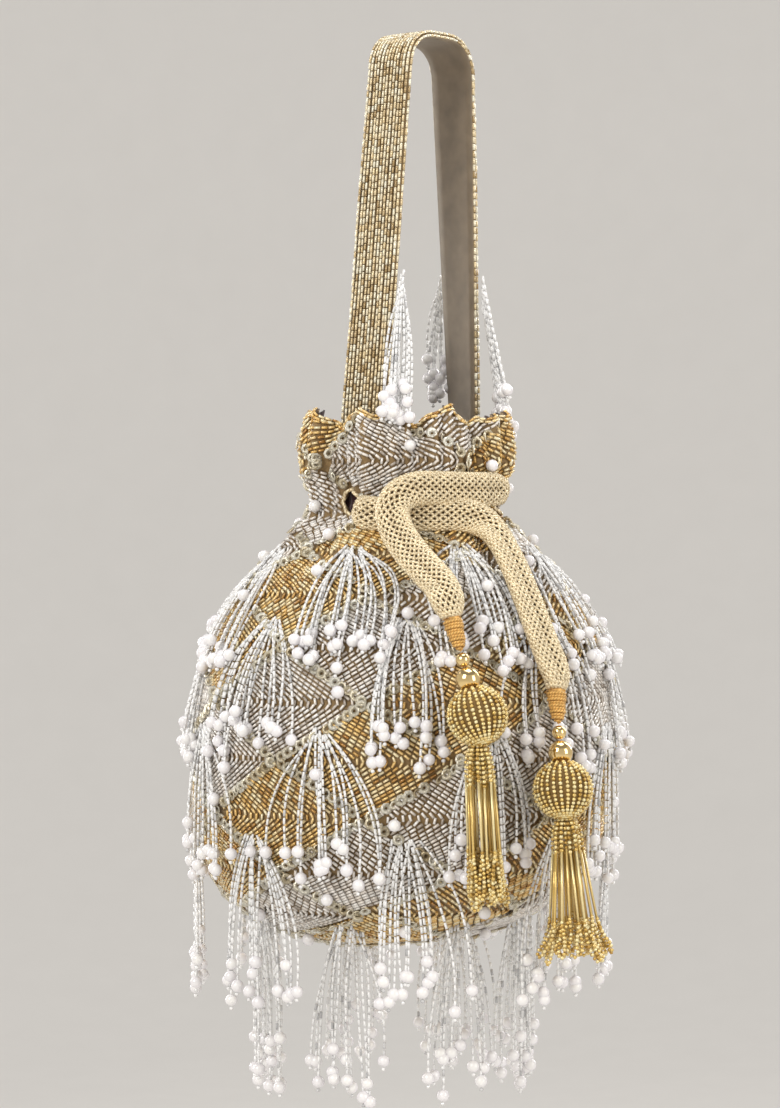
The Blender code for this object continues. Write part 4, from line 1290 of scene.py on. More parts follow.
def cloth_material(name, dark, light, pitch, roughness, sheen, metallic=0.0):
    """Woven cloth: crossed threads, uneven dye and a little sheen."""
    made, tree, shader = new_material(name, roughness, metallic)
    weave = use_group(tree, WEAVE, (-500, 0), Thread_Pitch=pitch)
    dye = noise(tree, (-700, 300), 160.0, 4.0)
    threads = mix_colours(tree, (-100, 100), weave.outputs["Gaps"], dark, light)
    uneven = mix_colours(tree, (-100, 350), dye, (0.55, 0.55, 0.55, 1.0), (1.3, 1.3, 1.3, 1.0))
    colour = mix_colours(tree, (200, 200), 1.0, threads, uneven, "MULTIPLY")
    tree.links.new(colour, shader.inputs["Base Color"])
    add_bump(tree, shader, weave.outputs["Height"], 0.5, 0.0003)
    shader.inputs["Sheen Weight"].default_value = sheen
    return made


TISSUE = cloth_material("tissue_cloth", (0.10, 0.055, 0.022, 1.0), (0.46, 0.31, 0.14, 1.0),
                        0.0009, 0.5, 0.1, 0.35)
MAROON = cloth_material("maroon_lining", (0.010, 0.002, 0.003, 1.0), (0.055, 0.010, 0.012, 1.0),
                        0.0007, 0.8, 0.3)

POUCH = pouch_cloth("pouch_cloth", TISSUE, True, 0.0, CLOTH_THICKNESS)
LINING = pouch_cloth("pouch_inner_lining", MAROON, False, LINING_DEPTH, LINING_THICKNESS, LINING_ROWS_SHARE)
print(POUCH.name, triangles(POUCH), "triangles;", LINING.name, triangles(LINING), "triangles")

# %% [markdown]
# ## Leaf fields of bugle beads
#
# The embroiderer works one leaf at a time. Each leaf lies on its side with its tip to the
# right. Rows of bugle beads run from both edges to a rib along the middle, so they meet
# in chevrons, and sequins line the edges. The tip of each leaf lies over the roots of the
# next two, like roof tiles, and gold leaves take turns with silver ones.

# %% Embroider the leaves
LEAF_HALF_HEIGHT = 0.0200
LEAF_TIP_REACH = 0.033
LEAF_LENGTH = 0.068
TIER_PITCH = 0.0200
EDGE_CURVE = 1.15
ROW_PITCH = 0.00142
BEAD_PITCH = 0.00262
SEQUIN_PITCH = 0.0029
FIRST_TIP_AZIMUTH = -12.0
FIRST_TIP_HEIGHT = -0.280
LIFT_OF_BUGLES = 0.0006
LIFT_OF_SEQUINS = 0.0011
SEQUINS_LOST = 0.10
ROW_OVERLAP = 0.0007
SEQUIN_OVERLAP = -0.0008


def leaf_edge(across):
    """How far left of its tip a leaf's edge is, at a distance across from its rib."""
    return LEAF_TIP_REACH * (np.abs(across) / LEAF_HALF_HEIGHT) ** EDGE_CURVE


def plan_leaves():
    """All leaves as (azimuth of the tip, walked length down, gold or silver)."""
    leaves = []
    first = float(down_at(FIRST_TIP_HEIGHT))
    lowest = math.floor((0.006 - first) / TIER_PITCH)
    highest = int((CLOTH_LENGTH - 0.008 - first) / TIER_PITCH)
    for tier in range(lowest, highest + 1):
        down = first + tier * TIER_PITCH
        around = 2.0 * math.pi * float(np.interp(down, DOWN, RADIUS))
        count = max(3, math.ceil(around / LEAF_LENGTH - 0.12))
        stagger = -180.0 / count if tier % 2 else 0.0
        for place in range(count):
            azimuth = FIRST_TIP_AZIMUTH + stagger + place * 360.0 / count
            gold = (place + tier // 2) % 2 == 0
            leaves.append((azimuth, down, gold))
    return leaves


def covered(azimuth, down, leaf, leaves, margin):
    """Where a leaf's points lie under the leaves to its left."""
    hidden = np.zeros(azimuth.shape, dtype=bool)
    radius = np.interp(down, DOWN, RADIUS)
    for other in leaves:
        step = float(wrapped(other[0] - leaf[0]))
        if not -130.0 < step < -0.01 or abs(other[1] - leaf[1]) > 2.2 * LEAF_HALF_HEIGHT:
            continue
        across = down - other[1]
        left = -np.radians(wrapped(azimuth - other[0])) * radius
        hidden |= ((np.abs(across) < LEAF_HALF_HEIGHT) & (left > leaf_edge(across) - margin)
                   & (left < LEAF_LENGTH))
    return hidden


def runs_of(kept):
    """Start and end of each stretch of kept points."""
    padded = np.concatenate([[False], kept, [False]])
    change = np.flatnonzero(padded[1:] != padded[:-1])
    return zip(change[::2], change[1::2])


def leaf_rows(leaf, leaves, random):
    """The rows of one leaf as (points, normals), cut where another leaf lies over them."""
    azimuth, middle, _ = leaf
    across = np.linspace(-LEAF_HALF_HEIGHT, LEAF_HALF_HEIGHT, 37)
    slope = math.atan2(LEAF_HALF_HEIGHT, LEAF_TIP_REACH)
    shift = ROW_PITCH / math.sin(slope)
    rows = []
    for row in range(1, int(LEAF_LENGTH / shift)):
        left = row * shift + leaf_edge(across)
        down = middle + across
        valid = (left < LEAF_LENGTH) & (down > 0.0012) & (down < CLOTH_LENGTH - 0.004)
        down = np.clip(down, 0.0, CLOTH_LENGTH - 0.004)
        radius = np.interp(down, DOWN, RADIUS)
        turn = -np.degrees(left / np.maximum(radius, 0.004))
        places = azimuth + turn
        valid &= turn > -150.0
        valid &= ~covered(places, down, leaf, leaves, ROW_OVERLAP)
        valid &= ~(in_slit(places, 1.5) & (np.abs(down - SLIT_DOWN) < SLIT_HALF_HEIGHT + 0.0012))
        for start, end in runs_of(valid):
            if end - start < 4:
                continue
            wobble = random.uniform(-0.00012, 0.00012)
            points, _, _, normals = pouch_frame(places[start:end], down[start:end] + wobble)
            rows.append((points + LIFT_OF_BUGLES * normals, normals))
    return rows


def leaf_sequins(leaf, leaves, random):
    """Places of the sequins along one leaf's edges, as (point, along, facing)."""
    azimuth, middle, _ = leaf
    found = []
    for side in (-1.0, 1.0):
        across = side * np.linspace(0.0, LEAF_HALF_HEIGHT, 60)
        left = leaf_edge(across) - 0.0008
        line = np.column_stack([-left, across, np.zeros(60)])
        walked = walked_lengths(line)
        count = int(walked[-1] / SEQUIN_PITCH)
        targets = (np.arange(count) + 0.4) * SEQUIN_PITCH
        left = -np.interp(targets, walked, line[:, 0])
        down = middle + np.interp(targets, walked, line[:, 1])
        kept = (down > 0.003) & (down < CLOTH_LENGTH - 0.006)
        down = np.clip(down, 0.0, CLOTH_LENGTH - 0.006)
        radius = np.maximum(np.interp(down, DOWN, RADIUS), 0.004)
        places = azimuth - np.degrees(left / radius)
        kept &= ~covered(places, down, leaf, leaves, SEQUIN_OVERLAP)
        kept &= random.uniform(size=count) > SEQUINS_LOST
        kept &= ~(in_slit(places, 2.5) & (np.abs(down - SLIT_DOWN) < SLIT_HALF_HEIGHT + 0.002))
        if not kept.any():
            continue
        points, along, falling, normals = pouch_frame(places[kept], down[kept])
        run = unit(along + 0.6 * side * falling)
        tilt = unit(normals + 0.30 * run + random.normal(0.0, 0.10, (int(kept.sum()), 3)))
        found.append((points + LIFT_OF_SEQUINS * normals, unit(np.cross(tilt, run)), tilt))
    return found


LEAVES = plan_leaves()
leaf_random = np.random.default_rng(7)
GOLD_ROWS, SILVER_ROWS, SEQUIN_PLACES = [], [], []
for leaf in LEAVES:
    (GOLD_ROWS if leaf[2] else SILVER_ROWS).extend(leaf_rows(leaf, LEAVES, leaf_random))
    SEQUIN_PLACES.extend(leaf_sequins(leaf, LEAVES, leaf_random))


def sew_rows(name, rows, material, seed, pattern="bugle", pitch=BEAD_PITCH, roll=0.5, size_change=0.12):
    """Turn rows into one piece of beads."""
    made = rows_object(name, rows)
    return grow(made, ROW_TREE, Pitch=pitch, Bead=PATTERNS[pattern], Roll=roll,
                Size_Change=size_change, Seed=seed, Material=material)


def sew_points(name, points, along, normals, material, pattern, seed, roll=3.1, size_change=0.08):
    """Turn single points into one piece of beads."""
    made = points_object(name, points, along, normals)
    return grow(made, POINT_TREE, Bead=PATTERNS[pattern], Roll=roll, Size_Change=size_change,
                Seed=seed, Material=material)


def split_rows(rows):
    """Front and back halves of the rows, so that no piece grows too large."""
    front = [row for row in rows if row[0][:, 1].mean() < 0.0]
    back = [row for row in rows if row[0][:, 1].mean() >= 0.0]
    return {"front": front, "back": back}


EMBROIDERY = []
for half, rows in split_rows(GOLD_ROWS).items():
    EMBROIDERY.append(sew_rows("embroidery_gold_" + half, rows, GOLD_BEADS, 3))
for half, rows in split_rows(SILVER_ROWS).items():
    EMBROIDERY.append(sew_rows("embroidery_silver_" + half, rows, SILVER_BEADS, 5))
SEQUIN_LINES = sew_points("embroidery_sequins", np.vstack([row[0] for row in SEQUIN_PLACES]),
                          np.vstack([row[1] for row in SEQUIN_PLACES]),
                          np.vstack([row[2] for row in SEQUIN_PLACES]), SEQUINS, "sequin", 9, 0.4, 0.05)
EMBROIDERY.append(SEQUIN_LINES)
print(len(LEAVES), "leaves;", {made.name: triangles(made) for made in EMBROIDERY})

# %% [markdown]
# ## Hand strap
#
# The strap is a cloth tape with thirteen columns of bugle beads on its outer face, one
# more along each edge, and a taupe lining under it. It goes up from the front of the
# collar, over the hand or the hook, and down inside the back of the collar.

# %% Strap path and beads
STRAP_WIDTH = 0.0195
SEAT_LENGTH = 0.012
STRAP_BEND_RADIUS = 0.011
STRAP_TAIL = 0.012
STRAP_PLANE_AZIMUTH = -40.0
STRAP_FRONT_AZIMUTH = -36.0
STRAP_BACK_AZIMUTH = 118.0
STRAP_FRONT_RADIUS = 0.0244
STRAP_BACK_RADIUS = 0.0234
STRAP_TAPE_DEPTH = 0.0018
STRAP_LINING_THICKNESS = 0.0010
STRAP_COLUMNS = 13
STRAP_BEAD_PITCH = 0.00256
STRAP_HALF_TAPE = 0.5 * STRAP_WIDTH - 0.0004


def strap_half(start_azimuth, end_azimuth, radius, side):
    """Frames of one half of the strap, from the seat to its tail: (point, width, facing)."""
    frames = []
    across = outward(start_azimuth)
    for step in range(8):
        turn = 0.5 * math.pi * step / 8
        point = (0.5 * SEAT_LENGTH + STRAP_BEND_RADIUS * math.sin(turn)) * across
        point[2] = -STRAP_BEND_RADIUS * (1.0 - math.cos(turn))
        facing = math.sin(turn) * across + np.array((0.0, 0.0, math.cos(turn)))
        frames.append((point, side * sideways(start_azimuth), facing))
    start = (0.5 * SEAT_LENGTH + STRAP_BEND_RADIUS) * across
    start[2] = -STRAP_BEND_RADIUS
    end = np.array((POUCH_AXIS_X, 0.0, RIM_Z)) + radius * outward(end_azimuth)
    for step in range(13):
        share = step / 12
        azimuth = mix(start_azimuth, end_azimuth, share)
        frames.append((mix(start, end, share), side * sideways(azimuth), outward(azimuth)))
    tail = end - np.array((0.0, 0.0, STRAP_TAIL))
    frames.append((tail, side * sideways(end_azimuth), outward(end_azimuth)))
    return frames


def strap_line():
    """Even points along the strap's inner face, with unit vectors across it and out of it."""
    front = strap_half(STRAP_PLANE_AZIMUTH, STRAP_FRONT_AZIMUTH, STRAP_FRONT_RADIUS, 1.0)
    back = strap_half(STRAP_PLANE_AZIMUTH + 180.0, STRAP_BACK_AZIMUTH, STRAP_BACK_RADIUS, -1.0)
    frames = front[::-1] + back
    points = np.array([place[0] for place in frames])
    walked = walked_lengths(points)
    even = np.linspace(0.0, walked[-1], int(walked[-1] / 0.0015))

    def spread(index):
        rows = np.array([place[index] for place in frames])
        return np.stack([np.interp(even, walked, rows[:, axis]) for axis in range(3)], axis=1)

    line = spread(0)
    kernel = np.array((1.0, 2.0, 3.0, 2.0, 1.0)) / 9.0
    smooth = line.copy()
    for axis in range(3):
        smooth[2:-2, axis] = np.convolve(line[:, axis], kernel, mode="valid")
    return smooth, unit(spread(1)), unit(spread(2)), even


def strap_ribbon(name, inner, outer, half_width, material, crown=0.0):
    """One layer of the strap as a closed ribbon. crown lifts its middle a little."""
    points, widths, facings, walked = strap_line()
    shares = np.linspace(-1.0, 1.0, 7)
    top = [(share * half_width, outer + crown * (1.0 - share ** 2)) for share in shares]
    bottom = [(share * half_width, inner) for share in shares[::-1]]
    section = top + bottom
    count = len(section)
    rows = np.stack([points + across * widths + up * facings for across, up in section], axis=1)
    faces = [(row * count + step, (row + 1) * count + step,
              (row + 1) * count + (step + 1) % count, row * count + (step + 1) % count)
             for row in range(len(points) - 1) for step in range(count)]
    last = (len(points) - 1) * count
    faces.append(tuple(range(count)))
    faces.append(tuple(range(last, last + count))[::-1])
    made = mesh_object(name, rows.reshape(-1, 3), faces, material)
    set_uv(made, "cloth", np.array([(place[0], length) for length in walked for place in section]))
    face_outwards(made)
    return made


def strap_bead_rows():
    """Columns of beads along the strap, as (points, normals)."""
    points, widths, facings, _ = strap_line()
    random = np.random.default_rng(21)
    rows = []
    lift = STRAP_TAPE_DEPTH + BUGLE_RADIUS
    for column in range(STRAP_COLUMNS):
        across = (column / (STRAP_COLUMNS - 1.0) - 0.5) * (STRAP_WIDTH - 0.0016)
        waves = np.linspace(0.0, random.uniform(18.0, 30.0), len(points))
        wander = 0.00016 * np.sin(waves + random.uniform(0.0, 6.0))
        first = random.integers(0, 2)
        line = points + (across + wander)[:, None] * widths + lift * facings
        rows.append((line[first:], facings[first:]))
    for side in (-1.0, 1.0):
        edge = 0.5 * STRAP_WIDTH - 0.0002
        line = points + side * edge * widths + 0.5 * STRAP_TAPE_DEPTH * facings
        rows.append((line, side * widths))
    return rows


TAUPE = cloth_material("taupe_lining", (0.13, 0.095, 0.060, 1.0), (0.36, 0.28, 0.19, 1.0),
                       0.0008, 0.6, 0.2, 0.1)
STRAP_TAPE_CLOTH = cloth_material("strap_tape_cloth", (0.05, 0.03, 0.014, 1.0), (0.34, 0.22, 0.09, 1.0),
                                  0.0007, 0.6, 0.1, 0.2)
STRAP_LINING = strap_ribbon("strap_under_tape", 0.0, STRAP_LINING_THICKNESS, STRAP_HALF_TAPE, TAUPE)
STRAP_TAPE = strap_ribbon("strap_tape", STRAP_LINING_THICKNESS, STRAP_TAPE_DEPTH, STRAP_HALF_TAPE,
                          STRAP_TAPE_CLOTH, 0.0001)
STRAP_COLUMNS_OF_BEADS = sew_rows("strap_bugle_columns", strap_bead_rows(), STRAP_BEADS, 31,
                                  pitch=STRAP_BEAD_PITCH, roll=0.6)
print("strap", round(1000 * strap_line()[3][-1], 1), "mm long,",
      triangles(STRAP_COLUMNS_OF_BEADS), "bead triangles")

# %% [markdown]
# ## Fringe
#
# Each cluster starts from one knot. Its strands carry clear bugle beads and end in a
# pearl and a seed bead. A strand lies on the pouch where the pouch widens below it, and
# hangs plumb where the pouch falls away. The strands of a cluster fan out on the way.

# %% Fringe strands
# Share of the height, length, first azimuth, strands in a cluster and half the spread at their ends
FRINGE_TIERS = ((0.0777, 0.0520, 22.5, 19, 0.0220), (0.2460, 0.0540, 0.0, 16, 0.0215),
                (0.4919, 0.0550, 22.5, 14, 0.0205), (0.7379, 0.0600, 0.0, 14, 0.0190),
                (0.9450, 0.0620, 22.5, 13, 0.0125))
CLUSTERS_PER_TIER = 8
STRAND_PITCH = 0.00262
STRAND_END_LENGTH = 0.0062
KNOT_HALF_WIDTH = 0.0040
FAN_CURVE = 2.4
STRAND_STEP = 0.0005
STRAND_CLEARANCE = 0.0013
# Least and most of what differs from one cluster or strand to the next
SPREAD_SHARES = (0.72, 1.08)
LENGTH_SHARES = (0.72, 1.03)
LIFTS = (0.0004, 0.0042)
SWAYS = (0.0001, 0.0011)
CLUSTER_LEAN = 0.0045
STRAP_LENGTH_SHARES = (0.72, 1.04)
STRAP_LIFTS = (0.0004, 0.0030)
STRAP_SWAYS = (0.0001, 0.0006)
# Height, azimuth and radius of the highest knot, azimuth over the rim, length, strands,
# and the degrees that the strap's edge turns per metre of drop
STRAP_FRINGES = {
    "strap_fringe_front": (-0.087, -1.8, 0.0266, -6.0, 0.059, 17, -242.0),
    "strap_fringe_back_right": (-0.087, 93.9, 0.0286, 84.0, 0.061, 16, 30.0),
    "strap_fringe_back_left": (-0.085, 152.4, 0.0267, None, 0.047, 12, -229.0),
}
KNOT_STAGGER = 0.012


def strand_wall(azimuths, heights, share, lift):
    """Radius at which a strand lies just off the pouch's wall."""
    down = down_at(np.clip(heights, BOTTOM_Z, RIM_Z))
    wall = np.interp(down, DOWN, RADIUS) + fold_height(azimuths, down)
    wall = wall + np.interp(down, DOWN, LEAN) * np.sin(np.radians(azimuths))
    slope = np.abs(np.gradient(wall, STRAND_STEP))
    return wall + (STRAND_CLEARANCE + lift * share) * np.sqrt(1.0 + np.minimum(slope, 3.0) ** 2)


def strand_path(knot_azimuth, height, start, end, length, lift, sway, knot_radius=None, rim_azimuth=None):
    """Points and outward normals of one strand that hangs from a knot.

    start and end are how far it is along the wall from the knot's azimuth at its two ends.
    """
    steps = np.arange(int(1.6 * length / STRAND_STEP))
    heights = height - STRAND_STEP * steps
    azimuths = np.full(len(steps), float(knot_azimuth))
    free = knot_radius is not None
    if free and rim_azimuth is not None:
        rise = np.clip((height - heights) / max(height - RIM_Z, 1e-6), 0.0, 1.0)
        azimuths = mix(knot_azimuth, rim_azimuth, rise)
    walked = STRAND_STEP * steps
    radius = np.full(len(steps), knot_radius if free else 0.0)
    for _ in range(2):
        share = np.clip(walked / length, 0.0, 1.0)
        fanned = 1.0 - (1.0 - share) ** FAN_CURVE
        offset = mix(start, end, fanned) + sway[0] * np.sin(walked / 0.011 + sway[1])
        turn = np.degrees(offset / np.maximum(radius, 0.02))
        if not free or rim_azimuth is not None:
            wall = strand_wall(azimuths + turn, heights, share, lift)
            if free:
                rim = np.interp(RIM_Z, heights[::-1], wall[::-1])
                line = mix(knot_radius, rim + 0.001, np.clip((height - heights) / (height - RIM_Z), 0.0, 1.0))
                wall = np.where(heights > RIM_Z, line, wall)
            radius = np.maximum.accumulate(wall)
        walked = np.concatenate([[0.0], np.cumsum(np.hypot(np.diff(radius), STRAND_STEP))])
    inside = walked <= length
    places = (azimuths + turn)[inside]
    points = radius[inside][:, None] * outward(places)
    points[:, 0] += POUCH_AXIS_X
    points[:, 2] = heights[inside]
    count = max(int(length / 0.0016), 6)
    line = even_points(points, count)
    shares, known = np.linspace(0, 1, count), np.linspace(0, 1, len(places))
    facing = outward(places)
    return line, np.stack([np.interp(shares, known, facing[:, axis]) for axis in range(3)], axis=1)


def cluster(knot_azimuth, height, length, strands, half_spread, random):
    """The strands of one cluster on the pouch."""
    made = []
    spread = half_spread * random.uniform(*SPREAD_SHARES)
    lean = random.uniform(-CLUSTER_LEAN, CLUSTER_LEAN)
    for strand in range(strands):
        share = 2.0 * strand / (strands - 1.0) - 1.0
        start = share * KNOT_HALF_WIDTH + random.uniform(-0.0012, 0.0012)
        end = share * spread + lean + random.normal(0.0, 0.0030)
        own_length = length * random.uniform(*LENGTH_SHARES) - STRAND_END_LENGTH
        lift = random.uniform(*LIFTS)
        sway = (random.uniform(*SWAYS), random.uniform(0.0, 6.0))
        own_height = height + random.uniform(-0.0022, 0.0012)
        made.append(strand_path(knot_azimuth, own_height, start, end, own_length, lift, sway))
    return made


def strap_cluster(height, azimuth, radius, rim_azimuth, length, strands, turning, random):
    """The strands of one cluster on the strap's edge, one knot below the other."""
    made = []
    for strand in range(strands):
        drop = KNOT_STAGGER * strand / (strands - 1.0)
        side = random.uniform(-1.0, 1.0)
        own_length = length * random.uniform(*STRAP_LENGTH_SHARES) - drop - STRAND_END_LENGTH
        sway = (random.uniform(*STRAP_SWAYS), random.uniform(0.0, 6.0))
        lift = random.uniform(*STRAP_LIFTS)
        made.append(strand_path(azimuth + turning * drop, height - drop, 0.0005 * side, 0.0052 * side,
                                own_length, lift, sway, radius, rim_azimuth))
    return made


def strand_end(line):
    """Where the pearl and the seed bead hang under a strand, and the strand's end direction."""
    down = unit(line[-1] - line[-3])
    return line[-1] + (PEARL_RADIUS + 0.0003) * down, line[-1] + (2.0 * PEARL_RADIUS + 0.0009) * down, down


def make_fringe(name, strands, nodes, seed):
    """One group of strands as three pieces: bugles, pearls and tip beads."""
    bugles = sew_rows(name + "_bugles", strands, CLEAR_BEADS, seed, pattern="strand_bugle",
                      pitch=STRAND_PITCH, roll=3.1, size_change=0.06)
    finish_piece(bugles, "pouch", nodes)
    ends = [strand_end(line) for line, _ in strands]
    downs = np.array([end[2] for end in ends])
    facing = np.array([normals[-1] for _, normals in strands])
    pearls = sew_points(name + "_pearls", np.array([end[0] for end in ends]), downs, facing,
                        PEARL, "pearl", seed + 1)
    tips = sew_points(name + "_tip_beads", np.array([end[1] for end in ends]), downs, facing,
                      CLEAR_BEADS, "seed", seed + 2)
    for made in (pearls, tips):
        finish_piece(made, "pouch")
    return bugles, pearls, tips


fringe_random = np.random.default_rng(11)
FRINGE = []
for tier, (share, length, first_azimuth, count, half_spread) in enumerate(FRINGE_TIERS, start=1):
    height = mix(CASING_BOTTOM_Z, BOTTOM_Z, share)
    strands = []
    for number in range(CLUSTERS_PER_TIER):
        azimuth = first_azimuth + number * 360.0 / CLUSTERS_PER_TIER
        strands += cluster(azimuth, height, length, count, half_spread, fringe_random)
    nodes = [f"fringe_tier{tier}_{number + 1}" for number in range(CLUSTERS_PER_TIER)]
    FRINGE += make_fringe(f"fringe_tier{tier}", strands, nodes, 100 + 10 * tier)
for index, (name, fringe) in enumerate(STRAP_FRINGES.items()):
    FRINGE += make_fringe(name + "_strands", strap_cluster(*fringe, fringe_random), [name], 200 + 10 * index)
print(len(FRINGE), "fringe pieces,", sum(triangles(made) for made in FRINGE), "triangles")

# %% [markdown]
# ## Loose pearls, rim and slits
#
# Single pearls are sewn between the strands all over the bag. Two rows of gold beads
# finish the rim, and a thick buttonhole thread goes round each slit.

# %% Small trims
LOOSE_PEARLS = 96
GOLDEN_TURN = 137.508
TRIM_YARN_RADIUS = 0.00075


def loose_pearls():
    """Places of the pearls that are sewn straight to the cloth, as (points, along, normals)."""
    random = np.random.default_rng(77)
    number = np.arange(LOOSE_PEARLS)
    azimuths = number * GOLDEN_TURN + random.uniform(-8.0, 8.0, LOOSE_PEARLS)
    azimuths = wrapped(azimuths)
    downs = 0.010 + (CLOTH_LENGTH - 0.050) * (number + 0.5) / LOOSE_PEARLS
    kept = ~(in_slit(azimuths, 6.0) & (np.abs(downs - SLIT_DOWN) < 0.012))
    points, along, _, normals = pouch_frame(azimuths[kept], downs[kept])
    return points + (PEARL_RADIUS + 0.0007) * normals, along, normals


def rim_row(down, lift):
    """One row of beads round the rim."""
    azimuths = np.arange(0.0, 361.0, 1.5) - 180.0
    points, _, _, normals = pouch_frame(azimuths, np.full(len(azimuths), down))
    return points + lift * normals + np.array((0.0, 0.0, 0.0003)), normals


def slit_thread(middle):
    """Buttonhole thread round one slit."""
    turn = np.linspace(0.0, 2.0 * np.pi, 49)
    azimuths = middle + (SLIT_HALF_WIDTH + 0.6) * np.cos(turn)
    height = (SLIT_HALF_HEIGHT + 0.0005) * np.cos(0.5 * np.pi * np.abs(np.cos(turn)))
    points, _, _, normals = pouch_frame(azimuths, SLIT_DOWN + np.sign(np.sin(turn)) * height)
    return tube_grid(points + 0.0004 * normals, TRIM_YARN_RADIUS, 6)


pearl_points, pearl_along, pearl_normals = loose_pearls()
PEARLS = sew_points("loose_pearls", pearl_points, pearl_along, pearl_normals, PEARL, "pearl", 78)
RIM_BEADS = sew_rows("rim_beads", [rim_row(0.0004, 0.0004), rim_row(0.0016, 0.0008)], GOLD_BEADS, 79)
vertices, faces, uvs = join_grids([slit_thread(middle) for middle in SLIT_AZIMUTHS])
SLIT_THREADS = mesh_object("slit_threads", vertices, faces, BRAID_YARN)
set_uv(SLIT_THREADS, "yarn", uvs)
face_outwards(SLIT_THREADS)
print(len(pearl_points), "loose pearls,", triangles(RIM_BEADS), "triangles of rim beads")

# %% [markdown]
# ## Tassels
#
# Each drawstring ends in a wrap of orange-gold thread, two polished gold beads, a ball
# sewn over with seed beads in upright rows, and a skirt of gold bead strands. The skirt's
# strands are long bugles that end in loops of seed beads. The beads, the ball and the
# skirt ride together on one body under the wrap.

# %% Tassel pieces
WRAP_LENGTH = 0.0122
WRAP_TAPER = 0.0050
WRAP_TIP_RADIUS = 0.0006
WRAP_YARN_RADIUS = 0.00062
WRAP_POINTS_PER_TURN = 14
WRAP_UNEVEN = 0.009
# Height and number of waves of the swellings along a wrap
WRAP_SWELLS = ((0.00030, 9.0), (0.00018, 31.0))
CLEARANCE = 0.0003
SMALL_BEAD_RADIUS = 0.0025
LARGE_BEAD_RADIUS = 0.0043
BEAD_HOLE_RADIUS = 0.0009
BALL_RADIUS = 0.0106
BALL_DIMPLE_RADIUS = 0.0045
BALL_DIMPLE_DEPTH = 0.0013
BALL_ROWS = 26
BALL_BEAD_PITCH = 0.00140
BALL_FIRST_ANGLE = 0.46
BALL_LAST_ANGLE = math.pi - 0.22
SKIRT_BEAD_PITCH = 0.00146
SKIRT_SEED_SHARE = 0.23
SKIRT_BUGLE_LENGTH = 0.0255
TASSELS = {
    "left": {"hang": (0.245, -0.219, -0.945), "skirt": (0.060, 0.0, -1.0), "length": 0.0560,
             "radius": 0.0072, "strands": 34, "loop": 0.0030, "flare": 0.15},
    "right": {"hang": (0.056, -0.225, -0.972), "skirt": (0.068, 0.0, -1.0), "length": 0.0490,
              "radius": 0.0112, "strands": 36, "loop": 0.0042, "flare": 0.9},
}


def hanging_frame(place, direction):
    """Frame at a place whose -Z points along a direction and whose X stays level."""
    up = -Vector(direction).normalized()
    across = Vector((0.0, 1.0, 0.0)).cross(up).normalized()
    turn = Matrix((across, up.cross(across), up)).transposed().to_4x4()
    return Matrix.Translation(Vector(place)) @ turn


def moved(points, place):
    """Points taken through a frame."""
    matrix = np.array(place)
    return np.asarray(points) @ matrix[:3, :3].T + matrix[:3, 3]


def turned_mesh(name, profile, sections, place, material):
    """A smooth solid turned round Z through (radius, height) points that start and end on the axis."""
    turn = 2.0 * np.pi * np.arange(sections) / sections
    rings = [np.stack([radius * np.cos(turn), radius * np.sin(turn), np.full(sections, height)], axis=1)
             for radius, height in profile[1:-1]]
    points = np.vstack(rings + [np.array([[0.0, 0.0, profile[0][1]], [0.0, 0.0, profile[-1][1]]])])
    top, bottom = len(points) - 2, len(points) - 1
    faces = []
    for step in range(sections):
        right = (step + 1) % sections
        faces.append((top, step, right))
        last = (len(rings) - 1) * sections
        faces.append((bottom, last + right, last + step))
        for row in range(len(rings) - 1):
            faces.append((row * sections + step, (row + 1) * sections + step,
                          (row + 1) * sections + right, row * sections + right))
    made = mesh_object(name, moved(points, place), faces, material)
    face_outwards(made)
    return made


def bead_profile(radius, centre, hole):
    """A polished ball with a small rolled rim round its hole at both ends."""
    first = math.asin(hole / radius)
    angles = np.linspace(first, math.pi - first, 22)
    rim = radius * math.cos(first)
    profile = [(0.0, centre + rim - 0.3 * hole), (0.55 * hole, centre + rim - 0.1 * hole)]
    profile += [(radius * math.sin(angle), centre + radius * math.cos(angle)) for angle in angles]
    profile += [(0.55 * hole, centre - rim + 0.1 * hole), (0.0, centre - rim + 0.3 * hole)]
    return profile


def wrap_yarn(side, place):
    """Thread wound tightly round the end of the drawstring, down to a point."""
    turns = (WRAP_LENGTH - CLEARANCE) / (1.9 * WRAP_YARN_RADIUS)
    share = np.linspace(0.0, 1.0, int(turns * WRAP_POINTS_PER_TURN))
    share = share + WRAP_UNEVEN * np.sin(47.0 * share) * np.sin(np.pi * share)
    height = WRAP_LENGTH - WRAP_YARN_RADIUS - share * (WRAP_LENGTH - CLEARANCE - 2.0 * WRAP_YARN_RADIUS)
    taper = np.clip((CLEARANCE + WRAP_TAPER - height) / WRAP_TAPER, 0.0, 1.0)
    swell = sum(height_of * np.sin(share * waves) for height_of, waves in WRAP_SWELLS)
    radius = mix(WRAP_RADIUS, WRAP_TIP_RADIUS, taper ** 1.3) - WRAP_YARN_RADIUS + swell
    radius = np.maximum(radius, 0.0002)
    turn = 2.0 * np.pi * turns * share
    line = np.stack([radius * np.cos(turn), radius * np.sin(turn), height], axis=1)
    yarn = tube_grid(moved(line, place), WRAP_YARN_RADIUS, 5)
    core_line = np.array([(0.0, 0.0, h) for h in np.linspace(WRAP_LENGTH + 0.001, CLEARANCE, 12)])
    core_radius = np.interp(core_line[:, 2], (CLEARANCE, CLEARANCE + WRAP_TAPER, WRAP_LENGTH),
                            (0.0003, WRAP_RADIUS - 0.0007, WRAP_RADIUS - 0.0006))
    core = tube_grid(moved(core_line, place), core_radius, 12, side_hint=(1.0, 0.0, 0.0))
    vertices, faces, uvs = join_grids([core, yarn])
    made = mesh_object("thread_winding_" + side, vertices, faces, WRAP_THREAD)
    set_uv(made, "yarn", uvs)
    face_outwards(made)
    return made


